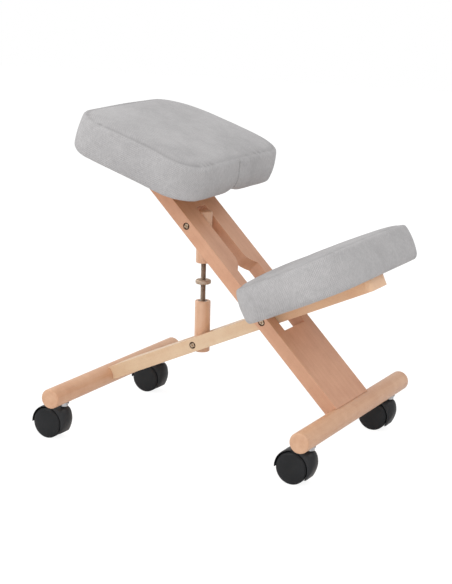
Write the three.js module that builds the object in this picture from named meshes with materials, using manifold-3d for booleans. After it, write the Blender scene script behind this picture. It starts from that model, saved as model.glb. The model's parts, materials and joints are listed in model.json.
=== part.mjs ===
// Height-adjustable wooden kneeling chair on four twin-wheel castors, in millimetres, +Z up.
// The sitter faces +X and the sitter's left is +Y. The floor is z = 0, and the origin is the
// middle of the chair's footprint. A lower beam runs from the rear foot bar up to the knee
// cushion. A main board runs from the front foot bar up to the seat, and its long slot lets
// the beam pass. They cross at the pivot bolt, and a screw between them sets the height.

import * as THREE from 'three';
import { mergeVertices } from 'three/addons/utils/BufferGeometryUtils.js';
import Module from 'manifold-3d';

// Clearances, cutting and roundness
const FIT_GAP = 0.3;
const CUT_OVERRUN = 2;
const LARGE_SIDES = 32;
const WHEEL_SIDES = 24;
const SMALL_SIDES = 16;
const PIN_SIDES = 12;
const HEX_SIDES = 6;

// Layout of the folding frame
const WHEELBASE = 520;
const BEAM_FOOT_TO_PIVOT = 397;
const BOARD_FOOT_TO_PIVOT = 225;
const PIVOT_TO_LOWER_BOLT = 179;
const PIVOT_TO_UPPER_BOLT = 229.5;

// Foot bars
const BAR_DIAMETER = 38;
const BAR_LENGTH = 460;
const BAR_CHAMFER = 2;
const SPOT_FACE_DEPTH = 1.5;

// Main board and its slot
const BOARD_WIDTH = 140;
const BOARD_THICKNESS = 26;
const BOLT_TO_SEAT = 171;
const BARREL_SIDE_CLEARANCE = 1;
const SLOT_ABOVE_UPPER_BOLT = 26;
const SLOT_TAPER_FROM_BOLT = 94;
const SLOT_TAPER_LENGTH = 28;
const SLOT_TAPER_BEND_SHARE = 0.45;
const SLOT_BELOW_PIVOT = 35.5;

// Lower beam and its slot
const BEAM_WIDTH = 76;
const BEAM_THICKNESS = 26;
const BEAM_CORNER_RADIUS = 13;
const BEAM_SLOT_LENGTH = 74;
const BEAM_SIDE_CLEARANCE = 3;

// Glued dowels between the foot bars and the board or beam
const DOWEL_DIAMETER = 10;
const DOWEL_LENGTH = 44;
const BOARD_DOWEL_INSET = 25;
const BEAM_DOWEL_INSET = 18;

// Cross bolts with sleeve nuts
const BOLT_DIAMETER = 8;
const BOLT_HEAD_DIAMETER = 12.5;
const BOLT_HEAD_LENGTH = 5;
const BOLT_HEAD_SUNK = 0.5;
const HEAD_POCKET_CLEARANCE = 0.7;
const HEX_SOCKET_WIDTH = 5;
const HEX_SOCKET_DEPTH = 3;
const SLEEVE_WALL = 1.2;
const SLEEVE_TO_SLOT = 2.5;
const BOLT_END_ROOM = 3;
const WASHER_DIAMETER = 24;

// Screw adjuster
const BARREL_DIAMETER = 30;
const BARREL_LENGTH = 100;
const BARREL_CHAMFER = 1;
const BARREL_BOLT_MARGIN = 19;
const ROD_DIAMETER = 10;
const ROD_IN_BARREL = 50;
const ROD_CHAMFER = 1;
const ROD_SWAY = 1.6;
const INSERT_DIAMETER = 18;
const INSERT_LENGTH = 18;
const BORE_END_WALL = 3;
const HAND_DISC_DIAMETER = 30;
const HAND_DISC_THICKNESS = 8;
const HAND_DISC_ROUNDING = 2;

// Seat
const SEAT_TILT_DEGREES = 18;
const SEAT_AHEAD_OF_BOARD = 52;
const SEAT_LENGTH = 282;
const SEAT_REAR_WIDTH = 370;
const SEAT_FRONT_WIDTH = 386;
const SEAT_CORNER_RADIUS = 68;
const SEAT_HEM_DROP = 1;
const SEAT_WALL = 66;
const SEAT_CROWN = 8;

// Knee cushion
const KNEE_PAST_PIVOT = 12.5;
const KNEE_PAST_BEAM = 24.5;
const KNEE_LENGTH = 230;
const KNEE_REAR_WIDTH = 400;
const KNEE_FRONT_WIDTH = 424;
const KNEE_CORNER_RADIUS = 78;
const KNEE_HEM_DROP = 5;
const KNEE_WALL = 65;
const KNEE_CROWN = 11;

// Shape shared by both cushions
const CUSHION_SIDE_PULL = 3;
const CUSHION_WALL_BULGE = 1.5;
const CUSHION_HEM_TUCK = 4;
const CUSHION_EDGE_ROUNDING = 8;
const CUSHION_SKIRT = 14;
const PLATE_THICKNESS = 12;
const CORNER_STEPS = 6;
const SIDE_STEPS = 5;

// Cleats, cross bolt and screws under the seat, and screws under the knee cushion
const CLEAT_LENGTH = 110;
const CLEAT_WIDTH = 22;
const CLEAT_HEIGHT = 24;
const CLEAT_AHEAD = 25;
const CROSS_BOLT_DIAMETER = 6;
const SCREW_DIAMETER = 4.5;
const SCREW_HEAD_DIAMETER = 9;
const SCREW_HEAD_HEIGHT = 3;
const SCREW_GRIP = 9;
const CLEAT_SCREW_INSET = 15;
const KNEE_SCREW_INSET = 55;

// Castors
const CASTOR_INSET = 49;
const WHEEL_DIAMETER = 60;
const WHEEL_WIDTH = 18;
const WHEEL_DOME = 4;
const WHEEL_TYRE_ROUNDING = 2.5;
const WEB_THICKNESS = 6;
const WHEEL_SIDE_GAP = 0.6;
const HUB_RECESS = 4;
const AXLE_DIAMETER = 6;
const CASTOR_TRAIL = 29.5;
const HOOD_WHEEL_GAP = 1.2;
const HOOD_WALL = 2.2;
const HOOD_TOP_ABOVE_FENDER = 0.6;
const HOOD_NOSE_REACH = 11.5;
const HOOD_NOSE_HEIGHT = 43;
const HOOD_NOSE_DEPTH = 20;
const HOOD_NOSE_STEPS = 4;
const HOOD_BOSS_HALF_LENGTH = 11;
const HOOD_TAIL_DEGREES = 182;
const HOOD_NOSE_DEGREES = -36;
const HOOD_STEP_DEGREES = 15;
const STEM_DIAMETER = 8;
const STEM_COLLAR_DIAMETER = 15;
const STEM_COLLAR_HEIGHT = 5.5;
const STEM_IN_HOOD = 12;
const STEM_IN_BAR = 24;
const SOCKET_DIAMETER = 12;
const SOCKET_FLANGE_DIAMETER = 19;
const SOCKET_FLANGE_THICKNESS = 2.2;

// Sizes worked out from the ones above
const BAR_RADIUS = BAR_DIAMETER / 2;
const BOLT_RADIUS = BOLT_DIAMETER / 2;
const SLEEVE_RADIUS = BOLT_RADIUS + FIT_GAP + SLEEVE_WALL;
const BARREL_RADIUS = BARREL_DIAMETER / 2;
const ROD_RADIUS = ROD_DIAMETER / 2;
const WHEEL_RADIUS = WHEEL_DIAMETER / 2;
const HOOD_OUTER_RADIUS = WHEEL_RADIUS + HOOD_WHEEL_GAP + HOOD_WALL;
const HOOD_TOP_HEIGHT = WHEEL_RADIUS + HOOD_OUTER_RADIUS + HOOD_TOP_ABOVE_FENDER;
const FLANGE_TOP_HEIGHT = HOOD_TOP_HEIGHT + STEM_COLLAR_HEIGHT + FIT_GAP + SOCKET_FLANGE_THICKNESS;
const FOOT_AXIS_HEIGHT = FLANGE_TOP_HEIGHT + FIT_GAP - SPOT_FACE_DEPTH + BAR_RADIUS;
const NARROW_SLOT_WIDTH = BARREL_DIAMETER + 2 * BARREL_SIDE_CLEARANCE;
const WIDE_SLOT_WIDTH = BEAM_WIDTH + 2 * BEAM_SIDE_CLEARANCE;
const BARREL_MOUTH = BARREL_LENGTH - BARREL_BOLT_MARGIN;
const KNEE_AHEAD_OF_PIVOT = KNEE_PAST_PIVOT + KNEE_LENGTH / 2;
const BEAM_FRONT_REACH = KNEE_PAST_PIVOT + KNEE_LENGTH - KNEE_PAST_BEAM;
const BOARD_DOWEL_SPACING = BOARD_WIDTH - 2 * BOARD_DOWEL_INSET;
const BEAM_DOWEL_SPACING = BEAM_WIDTH - 2 * BEAM_DOWEL_INSET;
const CLEAT_SCREW_SPACING = CLEAT_LENGTH - 2 * CLEAT_SCREW_INSET;
const KNEE_SCREW_SPACING = KNEE_LENGTH - 2 * KNEE_SCREW_INSET;

// One size of sleeve nut serves every cross bolt, so the thinner wall beside a slot sets its length.
const THIN_WALL = Math.min(BEAM_WIDTH - NARROW_SLOT_WIDTH, BOARD_WIDTH - WIDE_SLOT_WIDTH) / 2;
const SLEEVE_LENGTH = THIN_WALL - BOLT_HEAD_SUNK - BOLT_HEAD_LENGTH - SLEEVE_TO_SLOT;

const beamAngle = Math.acos(
  (BEAM_FOOT_TO_PIVOT ** 2 + WHEELBASE ** 2 - BOARD_FOOT_TO_PIVOT ** 2) /
  (2 * BEAM_FOOT_TO_PIVOT * WHEELBASE)
);
const pivot = new THREE.Vector3(
  BEAM_FOOT_TO_PIVOT * Math.cos(beamAngle),
  0,
  FOOT_AXIS_HEIGHT + BEAM_FOOT_TO_PIVOT * Math.sin(beamAngle)
);
const boardAngle = Math.asin((pivot.z - FOOT_AXIS_HEIGHT) / BOARD_FOOT_TO_PIVOT);
const seatAngle = THREE.MathUtils.degToRad(SEAT_TILT_DEGREES);
const lowerBolt = new THREE.Vector3(
  pivot.x - PIVOT_TO_LOWER_BOLT * Math.cos(beamAngle),
  0,
  pivot.z - PIVOT_TO_LOWER_BOLT * Math.sin(beamAngle)
);
const upperBolt = new THREE.Vector3(
  pivot.x - PIVOT_TO_UPPER_BOLT * Math.cos(boardAngle),
  0,
  pivot.z + PIVOT_TO_UPPER_BOLT * Math.sin(boardAngle)
);
const boltDistance = upperBolt.distanceTo(lowerBolt);
const rodAngle = Math.atan2(upperBolt.x - lowerBolt.x, upperBolt.z - lowerBolt.z);
const rodFreeLength = boltDistance - 2 * BARREL_MOUTH;
const rodLength = rodFreeLength + 2 * ROD_IN_BARREL;

const BEECH = { color: 0xd9a983, roughness: 0.5, metalness: 0 };
const PALE_BEECH = { color: 0xe3c39a, roughness: 0.5, metalness: 0 };
const PLYWOOD = { color: 0xcaa878, roughness: 0.7, metalness: 0 };
const GREY_FABRIC = { color: 0xb6b4b5, roughness: 0.95, metalness: 0 };
const BLACK_PLASTIC = { color: 0x2b2b2d, roughness: 0.4, metalness: 0 };
const BRIGHT_STEEL = { color: 0xc4c6c8, roughness: 0.3, metalness: 1 };
const BRONZED_STEEL = { color: 0x8a6f58, roughness: 0.4, metalness: 1 };
const DARK_NYLON = { color: 0x4a4643, roughness: 0.6, metalness: 0 };

const wasm = await Module();
wasm.setup();

// Turns a closed geometry into a solid for joining and cutting.
function toSolid(geometry) {
  const bare = geometry.clone();
  bare.deleteAttribute('normal');
  bare.deleteAttribute('uv');
  const merged = mergeVertices(bare);
  const solidMesh = new wasm.Mesh({
    numProp: 3,
    vertProperties: new Float32Array(merged.attributes.position.array),
    triVerts: new Uint32Array(merged.index.array),
  });
  return new wasm.Manifold(solidMesh);
}

function toGeometry(solid) {
  const result = solid.getMesh();
  const geometry = new THREE.BufferGeometry();
  geometry.setAttribute('position', new THREE.BufferAttribute(result.vertProperties, result.numProp));
  geometry.setIndex(new THREE.BufferAttribute(result.triVerts, 1));
  geometry.computeVertexNormals();
  return geometry;
}

function cut(geometry, tools) {
  let solid = toSolid(geometry);
  for (const tool of tools) {
    solid = solid.subtract(toSolid(tool));
  }
  return toGeometry(solid);
}

function join(geometries) {
  let solid = toSolid(geometries[0]);
  for (const other of geometries.slice(1)) {
    solid = solid.add(toSolid(other));
  }
  return toGeometry(solid);
}

function piece(name, geometry, finish) {
  const mesh = new THREE.Mesh(geometry, new THREE.MeshStandardMaterial(finish));
  mesh.name = name;
  return mesh;
}

function groupAt(x, y, z, turnAboutY = 0) {
  const placed = new THREE.Group();
  placed.position.set(x, y, z);
  placed.rotation.y = turnAboutY;
  return placed;
}

// A cylinder along Y.
function rodAlongY(radius, length, sides) {
  return new THREE.CylinderGeometry(radius, radius, length, sides);
}

// A cylinder along Z that starts at height `bottom`.
function rodAlongZ(radius, bottom, top, sides) {
  const rod = new THREE.CylinderGeometry(radius, radius, top - bottom, sides);
  rod.rotateX(Math.PI / 2);
  rod.translate(0, 0, (top + bottom) / 2);
  return rod;
}

// A turned piece about Z, from a closed list of [radius, height] places.
function turned(places, sides) {
  const profile = places.map(([radius, height]) => new THREE.Vector2(radius, height));
  const geometry = new THREE.LatheGeometry(profile, sides);
  geometry.rotateX(Math.PI / 2);
  return geometry;
}

// A flat board of the given outline in X and Y, centred on z = 0.
function flatBoard(shape, thickness, curveSegments) {
  const settings = { depth: thickness, bevelEnabled: false, curveSegments };
  const geometry = new THREE.ExtrudeGeometry(shape, settings);
  geometry.translate(0, 0, -thickness / 2);
  return geometry;
}

// A solid of the given outline in X and Z, of the given width along Y about y = 0.
function sideProfile(shape, width, curveSegments) {
  const geometry = new THREE.ExtrudeGeometry(shape, { depth: width, bevelEnabled: false, curveSegments });
  geometry.rotateX(Math.PI / 2);
  geometry.translate(0, width / 2, 0);
  return geometry;
}

// The hole for a cross bolt along Y, wider for the sleeve nut at -Y, with a pocket for each head.
function crossBoltHole(x, width) {
  const hole = rodAlongY(BOLT_RADIUS + FIT_GAP, width + 2 * CUT_OVERRUN, SMALL_SIDES);
  const pocketDepth = BOLT_HEAD_LENGTH + BOLT_HEAD_SUNK + FIT_GAP;
  const sleeveHole = rodAlongY(SLEEVE_RADIUS + FIT_GAP, pocketDepth + SLEEVE_LENGTH, SMALL_SIDES);
  sleeveHole.translate(0, -(width - pocketDepth - SLEEVE_LENGTH) / 2, 0);
  const tools = [hole, sleeveHole];
  for (const side of [-1, 1]) {
    const pocketLength = pocketDepth + CUT_OVERRUN;
    const pocket = rodAlongY(BOLT_HEAD_DIAMETER / 2 + HEAD_POCKET_CLEARANCE, pocketLength, SMALL_SIDES);
    pocket.translate(0, side * (width / 2 - pocketDepth + pocketLength / 2), 0);
    tools.push(pocket);
  }
  for (const tool of tools) {
    tool.translate(x, 0, 0);
  }
  return tools;
}

// A bolt and its sleeve nut along Y in a piece of the given width. The nut's head is at -Y.
function crossBolt(name, width) {
  const headOuter = width / 2 - BOLT_HEAD_SUNK;
  const headInner = headOuter - BOLT_HEAD_LENGTH;
  const sleeveInner = headInner - SLEEVE_LENGTH;
  const boltEnd = headOuter - HEX_SOCKET_DEPTH - BOLT_END_ROOM;

  const socket = rodAlongY(HEX_SOCKET_WIDTH / 2, HEX_SOCKET_DEPTH + CUT_OVERRUN, HEX_SIDES);
  socket.translate(0, headOuter + (CUT_OVERRUN - HEX_SOCKET_DEPTH) / 2, 0);

  const shank = rodAlongY(BOLT_RADIUS, headInner + boltEnd + CUT_OVERRUN, SMALL_SIDES);
  shank.translate(0, (headInner + CUT_OVERRUN - boltEnd) / 2, 0);
  const head = rodAlongY(BOLT_HEAD_DIAMETER / 2, BOLT_HEAD_LENGTH, SMALL_SIDES);
  head.translate(0, (headOuter + headInner) / 2, 0);
  const bolt = cut(join([shank, head]), [socket]);

  const sleeve = rodAlongY(SLEEVE_RADIUS, headInner - sleeveInner + CUT_OVERRUN, SMALL_SIDES);
  sleeve.translate(0, (headInner + CUT_OVERRUN + sleeveInner) / 2, 0);
  const boreEnd = boltEnd + FIT_GAP;
  const bore = rodAlongY(BOLT_RADIUS + FIT_GAP, boreEnd - sleeveInner + CUT_OVERRUN, SMALL_SIDES);
  bore.translate(0, (boreEnd + sleeveInner - CUT_OVERRUN) / 2, 0);
  const nut = cut(join([sleeve, head]), [bore, socket]);
  nut.rotateX(Math.PI);

  return [piece(name + '_bolt', bolt, BRIGHT_STEEL), piece(name + '_sleeve_nut', nut, BRIGHT_STEEL)];
}

// Dowel holes or dowels that cross the joint at x, pointing along X, `spacing` apart in Y.
function dowels(x, spacing, radius, length) {
  return [-1, 1].map((side) => {
    const dowel = rodAlongY(radius, length, PIN_SIDES);
    dowel.rotateZ(Math.PI / 2);
    dowel.translate(x, side * spacing / 2, 0);
    return dowel;
  });
}

const DOWEL_HOLE_RADIUS = DOWEL_DIAMETER / 2 + FIT_GAP;
const DOWEL_HOLE_LENGTH = DOWEL_LENGTH + 2 * FIT_GAP;

// Outline of a cushion: a trapezoid with rounded corners whose sides draw in between them.
function cushionOutline(length, rearWidth, frontWidth, radius, inset, pull) {
  const rear = -length / 2 + inset;
  const front = length / 2 - inset;
  const halfRear = rearWidth / 2 - inset;
  const halfFront = frontWidth / 2 - inset;
  const corners = [
    new THREE.Vector2(rear, -halfRear),
    new THREE.Vector2(front, -halfFront),
    new THREE.Vector2(front, halfFront),
    new THREE.Vector2(rear, halfRear),
  ];
  const cornerRadius = Math.max(radius - inset, CUSHION_HEM_TUCK);
  const arcs = corners.map((corner, index) => {
    const before = corners[(index + 3) % 4].clone().sub(corner).normalize();
    const after = corners[(index + 1) % 4].clone().sub(corner).normalize();
    const halfCorner = Math.acos(before.dot(after)) / 2;
    const toCentre = before.clone().add(after).normalize();
    const centre = corner.clone().addScaledVector(toCentre, cornerRadius / Math.sin(halfCorner));
    const sweep = Math.PI - 2 * halfCorner;
    const middle = Math.atan2(-toCentre.y, -toCentre.x);
    return Array.from({ length: CORNER_STEPS + 1 }, (unused, step) => {
      const angle = middle + sweep * (step / CORNER_STEPS - 1 / 2);
      return centre.clone().add(new THREE.Vector2(Math.cos(angle), Math.sin(angle)).multiplyScalar(cornerRadius));
    });
  });
  const outline = [];
  arcs.forEach((arc, index) => {
    outline.push(...arc);
    const start = arc[arc.length - 1];
    const end = arcs[(index + 1) % 4][0];
    const inward = end.clone().sub(start).normalize().rotateAround(new THREE.Vector2(), Math.PI / 2);
    for (let step = 1; step < SIDE_STEPS; step += 1) {
      const share = step / SIDE_STEPS;
      const drawnIn = pull * 4 * share * (1 - share);
      outline.push(start.clone().lerp(end, share).addScaledVector(inward, drawnIn));
    }
  });
  return outline;
}

// A closed skin over rings of equally many points, with a flat bottom and a closed top.
function skinRings(rings) {
  const count = rings[0].length;
  const last = rings.length - 1;
  const positions = rings.flat().flatMap((place) => [place.x, place.y, place.z]);
  const bottomCentre = rings.length * count;
  const topCentre = bottomCentre + 1;
  positions.push(0, 0, rings[0][0].z);
  positions.push(0, 0, Math.max(...rings[last].map((place) => place.z)));
  const faces = [];
  for (let step = 0; step < count; step += 1) {
    const next = (step + 1) % count;
    for (let level = 0; level < last; level += 1) {
      const low = level * count;
      const high = low + count;
      faces.push(low + step, low + next, high + next);
      faces.push(low + step, high + next, high + step);
    }
    faces.push(bottomCentre, next, step);
    faces.push(topCentre, last * count + step, last * count + next);
  }
  const geometry = new THREE.BufferGeometry();
  geometry.setAttribute('position', new THREE.Float32BufferAttribute(positions, 3));
  geometry.setIndex(faces);
  return geometry;
}

// Share of the way in from the edge, and share of the crown's height there.
const CROWN_RING_SHARES = [[0.9, 0.3], [0.7, 0.64], [0.4, 0.9], [0.12, 1]];

// A padded cushion hollowed from below for its plate, with its hem `drop` below the plate.
function cushion(length, rearWidth, frontWidth, radius, drop, wall, crown, plate) {
  const outlineAt = (inset, height) =>
    cushionOutline(length, rearWidth, frontWidth, radius, inset, CUSHION_SIDE_PULL)
      .map((place) => new THREE.Vector3(place.x, place.y, height - drop));
  const shoulder = wall - CUSHION_EDGE_ROUNDING;
  const rings = [
    outlineAt(CUSHION_HEM_TUCK, 0),
    outlineAt(0, CUSHION_HEM_TUCK),
    outlineAt(-CUSHION_WALL_BULGE, wall / 2),
    outlineAt(0, shoulder),
    outlineAt(CUSHION_EDGE_ROUNDING / 4, wall - CUSHION_EDGE_ROUNDING / 3),
    outlineAt(CUSHION_EDGE_ROUNDING, wall),
  ];
  const rim = rings[rings.length - 1];
  for (const [reachShare, riseShare] of CROWN_RING_SHARES) {
    rings.push(rim.map((place) =>
      new THREE.Vector3(place.x * reachShare, place.y * reachShare, place.z + crown * riseShare)));
  }
  const pocket = plate.clone();
  const spread = (size) => (size + 2 * FIT_GAP) / size;
  pocket.scale(
    spread(length - 2 * CUSHION_SKIRT),
    spread(rearWidth - 2 * CUSHION_SKIRT),
    1
  );
  pocket.translate(0, 0, FIT_GAP);
  const mouth = plate.clone();
  mouth.scale(spread(length - 2 * CUSHION_SKIRT), spread(rearWidth - 2 * CUSHION_SKIRT), 1);
  mouth.translate(0, 0, CUT_OVERRUN - PLATE_THICKNESS);
  return cut(skinRings(rings), [pocket, mouth]);
}

// The plywood plate inside a cushion, its underside at z = 0.
function cushionPlate(length, rearWidth, frontWidth, radius) {
  const outline = cushionOutline(length, rearWidth, frontWidth, radius, CUSHION_SKIRT, 0);
  const plate = flatBoard(new THREE.Shape(outline), PLATE_THICKNESS, 1);
  plate.translate(0, 0, PLATE_THICKNESS / 2);
  return plate;
}

// A countersunk screw along Z with its head at the bottom.
function screw(bottom, top) {
  const radius = SCREW_DIAMETER / 2;
  return turned([
    [0, bottom],
    [SCREW_HEAD_DIAMETER / 2, bottom],
    [radius, bottom + SCREW_HEAD_HEIGHT],
    [radius, top - radius],
    [0, top],
  ], PIN_SIDES);
}

function screwHole(bottom, top) {
  const radius = SCREW_DIAMETER / 2 + FIT_GAP;
  const headRadius = SCREW_HEAD_DIAMETER / 2 + FIT_GAP;
  return turned([
    [0, bottom - CUT_OVERRUN],
    [headRadius, bottom - CUT_OVERRUN],
    [headRadius, bottom],
    [radius, bottom + SCREW_HEAD_HEIGHT + FIT_GAP],
    [radius, top + FIT_GAP],
    [0, top + FIT_GAP],
  ], PIN_SIDES);
}

// Lower beam, in its own frame: the pivot is the origin, +X runs up the beam to the knees.
function beamPieces() {
  const half = BEAM_WIDTH / 2;
  const rearEnd = -(BEAM_FOOT_TO_PIVOT - BAR_RADIUS / 2);
  const outline = new THREE.Shape();
  outline.moveTo(rearEnd, -half);
  outline.lineTo(BEAM_FRONT_REACH - BEAM_CORNER_RADIUS, -half);
  outline.quadraticCurveTo(BEAM_FRONT_REACH, -half, BEAM_FRONT_REACH, -half + BEAM_CORNER_RADIUS);
  outline.lineTo(BEAM_FRONT_REACH, half - BEAM_CORNER_RADIUS);
  outline.quadraticCurveTo(BEAM_FRONT_REACH, half, BEAM_FRONT_REACH - BEAM_CORNER_RADIUS, half);
  outline.lineTo(rearEnd, half);
  outline.closePath();

  const slotRadius = NARROW_SLOT_WIDTH / 2;
  const slotReach = BEAM_SLOT_LENGTH / 2 - slotRadius;
  const slot = new THREE.Path();
  slot.absarc(-PIVOT_TO_LOWER_BOLT + slotReach, 0, slotRadius, -Math.PI / 2, Math.PI / 2);
  slot.absarc(-PIVOT_TO_LOWER_BOLT - slotReach, 0, slotRadius, Math.PI / 2, 3 * Math.PI / 2);
  outline.holes.push(slot);

  const barSeat = rodAlongY(BAR_RADIUS + FIT_GAP, BEAM_WIDTH + 2 * CUT_OVERRUN, LARGE_SIDES);
  barSeat.translate(-BEAM_FOOT_TO_PIVOT, 0, 0);
  const jointX = -BEAM_FOOT_TO_PIVOT + BAR_RADIUS;
  const pivotHole = rodAlongY(BOLT_RADIUS + FIT_GAP, BEAM_WIDTH + 2 * CUT_OVERRUN, SMALL_SIDES);
  const screwBottom = -BEAM_THICKNESS / 2 + FIT_GAP;
  const screwTop = BEAM_THICKNESS / 2 + SCREW_GRIP;
  const tools = [
    barSeat,
    pivotHole,
    ...crossBoltHole(-PIVOT_TO_LOWER_BOLT, BEAM_WIDTH),
    ...dowels(jointX, BEAM_DOWEL_SPACING, DOWEL_HOLE_RADIUS, DOWEL_HOLE_LENGTH),
  ];
  const screws = [];
  const screwTools = [];
  for (const [label, side] of [['rear', -1], ['front', 1]]) {
    const x = KNEE_AHEAD_OF_PIVOT + side * KNEE_SCREW_SPACING / 2;
    const hole = screwHole(screwBottom, screwTop);
    hole.translate(x, 0, 0);
    screwTools.push(hole);
    const body = screw(screwBottom, screwTop);
    body.translate(x, 0, 0);
    screws.push(piece('knee_screw_' + label, body, BRIGHT_STEEL));
  }

  const beam = cut(flatBoard(outline, BEAM_THICKNESS, SMALL_SIDES / 2), [...tools, ...screwTools]);
  const parts = [piece('lower_beam', beam, PALE_BEECH), ...screws];

  const dowelPair = dowels(jointX, BEAM_DOWEL_SPACING, DOWEL_DIAMETER / 2, DOWEL_LENGTH);
  parts.push(piece('rear_dowel_right', dowelPair[0], BEECH));
  parts.push(piece('rear_dowel_left', dowelPair[1], BEECH));

  const lowerBoltGroup = groupAt(-PIVOT_TO_LOWER_BOLT, 0, 0);
  lowerBoltGroup.add(...crossBolt('lower_barrel', BEAM_WIDTH));
  parts.push(lowerBoltGroup);
  parts.push(...crossBolt('pivot', BOARD_WIDTH));

  // Washers fill the gap on each side of the beam inside the board's slot.
  for (const [label, side] of [['right', -1], ['left', 1]]) {
    const thickness = BEAM_SIDE_CLEARANCE - 2 * FIT_GAP;
    const ring = rodAlongY(WASHER_DIAMETER / 2, thickness, SMALL_SIDES);
    const washer = cut(ring, [rodAlongY(BOLT_RADIUS + FIT_GAP, BEAM_WIDTH, SMALL_SIDES)]);
    washer.translate(0, side * (BEAM_WIDTH + BEAM_SIDE_CLEARANCE) / 2, 0);
    parts.push(piece('pivot_washer_' + label, washer, DARK_NYLON));
  }

  // Knee cushion and its plate lie on the beam's top face.
  const kneeGroup = groupAt(KNEE_AHEAD_OF_PIVOT, 0, BEAM_THICKNESS / 2 + FIT_GAP);
  const kneeSizes = [KNEE_LENGTH, KNEE_REAR_WIDTH, KNEE_FRONT_WIDTH, KNEE_CORNER_RADIUS];
  const plate = cushionPlate(...kneeSizes);
  const plateTools = screwTools.map((hole) => {
    const moved = hole.clone();
    moved.translate(-KNEE_AHEAD_OF_PIVOT, 0, -BEAM_THICKNESS / 2 - FIT_GAP);
    return moved;
  });
  kneeGroup.add(piece('knee_base', cut(plate, plateTools), PLYWOOD));
  const kneePad = cushion(...kneeSizes, KNEE_HEM_DROP, KNEE_WALL, KNEE_CROWN, plate);
  // The hem hangs below the beam's top face, so it is open at the rear where the beam goes in.
  const beamGate = new THREE.BoxGeometry(KNEE_LENGTH / 2, BEAM_WIDTH + 2 * FIT_GAP, BEAM_THICKNESS);
  beamGate.translate(-KNEE_LENGTH / 2, 0, -BEAM_THICKNESS / 2);
  kneeGroup.add(piece('knee_cushion', cut(kneePad, [beamGate]), GREY_FABRIC));
  parts.push(kneeGroup);
  return parts;
}

// Main board, in its own frame: the pivot is the origin, +X runs down the board to its foot.
function boardPieces() {
  const half = BOARD_WIDTH / 2;
  const narrow = NARROW_SLOT_WIDTH / 2;
  const wide = WIDE_SLOT_WIDTH / 2;
  const seatCross = -(PIVOT_TO_UPPER_BOLT + BOLT_TO_SEAT);
  const cutAngle = boardAngle - seatAngle;
  const topEnd = seatCross - BOARD_THICKNESS / Math.tan(cutAngle);
  const footEnd = BOARD_FOOT_TO_PIVOT - BAR_RADIUS / 2;
  const taperStart = -PIVOT_TO_UPPER_BOLT + SLOT_TAPER_FROM_BOLT;
  const taperBend = taperStart + SLOT_TAPER_LENGTH * SLOT_TAPER_BEND_SHARE;
  const taperEnd = taperStart + SLOT_TAPER_LENGTH;

  const outline = new THREE.Shape();
  outline.moveTo(topEnd, -half);
  outline.lineTo(footEnd, -half);
  outline.lineTo(footEnd, half);
  outline.lineTo(topEnd, half);
  outline.closePath();
  const slot = new THREE.Path();
  slot.moveTo(-PIVOT_TO_UPPER_BOLT - SLOT_ABOVE_UPPER_BOLT, -narrow);
  slot.lineTo(taperStart, -narrow);
  slot.quadraticCurveTo(taperBend, -narrow, taperEnd, -wide);
  slot.lineTo(SLOT_BELOW_PIVOT, -wide);
  slot.lineTo(SLOT_BELOW_PIVOT, wide);
  slot.lineTo(taperEnd, wide);
  slot.quadraticCurveTo(taperBend, narrow, taperStart, narrow);
  slot.lineTo(-PIVOT_TO_UPPER_BOLT - SLOT_ABOVE_UPPER_BOLT, narrow);
  slot.closePath();
  outline.holes.push(slot);

  const barSeat = rodAlongY(BAR_RADIUS + FIT_GAP, BOARD_WIDTH + 2 * CUT_OVERRUN, LARGE_SIDES);
  barSeat.translate(BOARD_FOOT_TO_PIVOT, 0, 0);
  const jointX = BOARD_FOOT_TO_PIVOT - BAR_RADIUS;

  // Everything above the underside of the seat's plate is cut away from the board's top end.
  const seatCut = new THREE.BoxGeometry(BOARD_WIDTH * 2, BOARD_WIDTH * 2, BOARD_WIDTH);
  seatCut.translate(0, 0, BOARD_WIDTH / 2 - FIT_GAP);
  seatCut.rotateY(-cutAngle);
  seatCut.translate(seatCross, 0, 0);

  const crossX = CLEAT_HEIGHT / 2 / Math.tan(cutAngle);
  const crossHole = rodAlongY(CROSS_BOLT_DIAMETER / 2 + FIT_GAP, BOARD_WIDTH + 2 * CUT_OVERRUN, PIN_SIDES);
  crossHole.translate(crossX, 0, -CLEAT_HEIGHT / 2);
  crossHole.rotateY(-cutAngle);
  crossHole.translate(seatCross, 0, 0);

  const board = cut(flatBoard(outline, BOARD_THICKNESS, CORNER_STEPS), [
    seatCut,
    barSeat,
    crossHole,
    ...crossBoltHole(0, BOARD_WIDTH),
    ...crossBoltHole(-PIVOT_TO_UPPER_BOLT, BOARD_WIDTH),
    ...dowels(jointX, BOARD_DOWEL_SPACING, DOWEL_HOLE_RADIUS, DOWEL_HOLE_LENGTH),
  ]);
  const parts = [piece('main_board', board, BEECH)];

  const dowelPair = dowels(jointX, BOARD_DOWEL_SPACING, DOWEL_DIAMETER / 2, DOWEL_LENGTH);
  parts.push(piece('front_dowel_right', dowelPair[0], BEECH));
  parts.push(piece('front_dowel_left', dowelPair[1], BEECH));

  const upperBoltGroup = groupAt(-PIVOT_TO_UPPER_BOLT, 0, 0);
  upperBoltGroup.add(...crossBolt('upper_barrel', BOARD_WIDTH));
  parts.push(upperBoltGroup);

  const seatGroup = groupAt(seatCross, 0, 0, -cutAngle);
  seatGroup.add(...seatPieces(crossX));
  parts.push(seatGroup);
  return parts;
}

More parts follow.
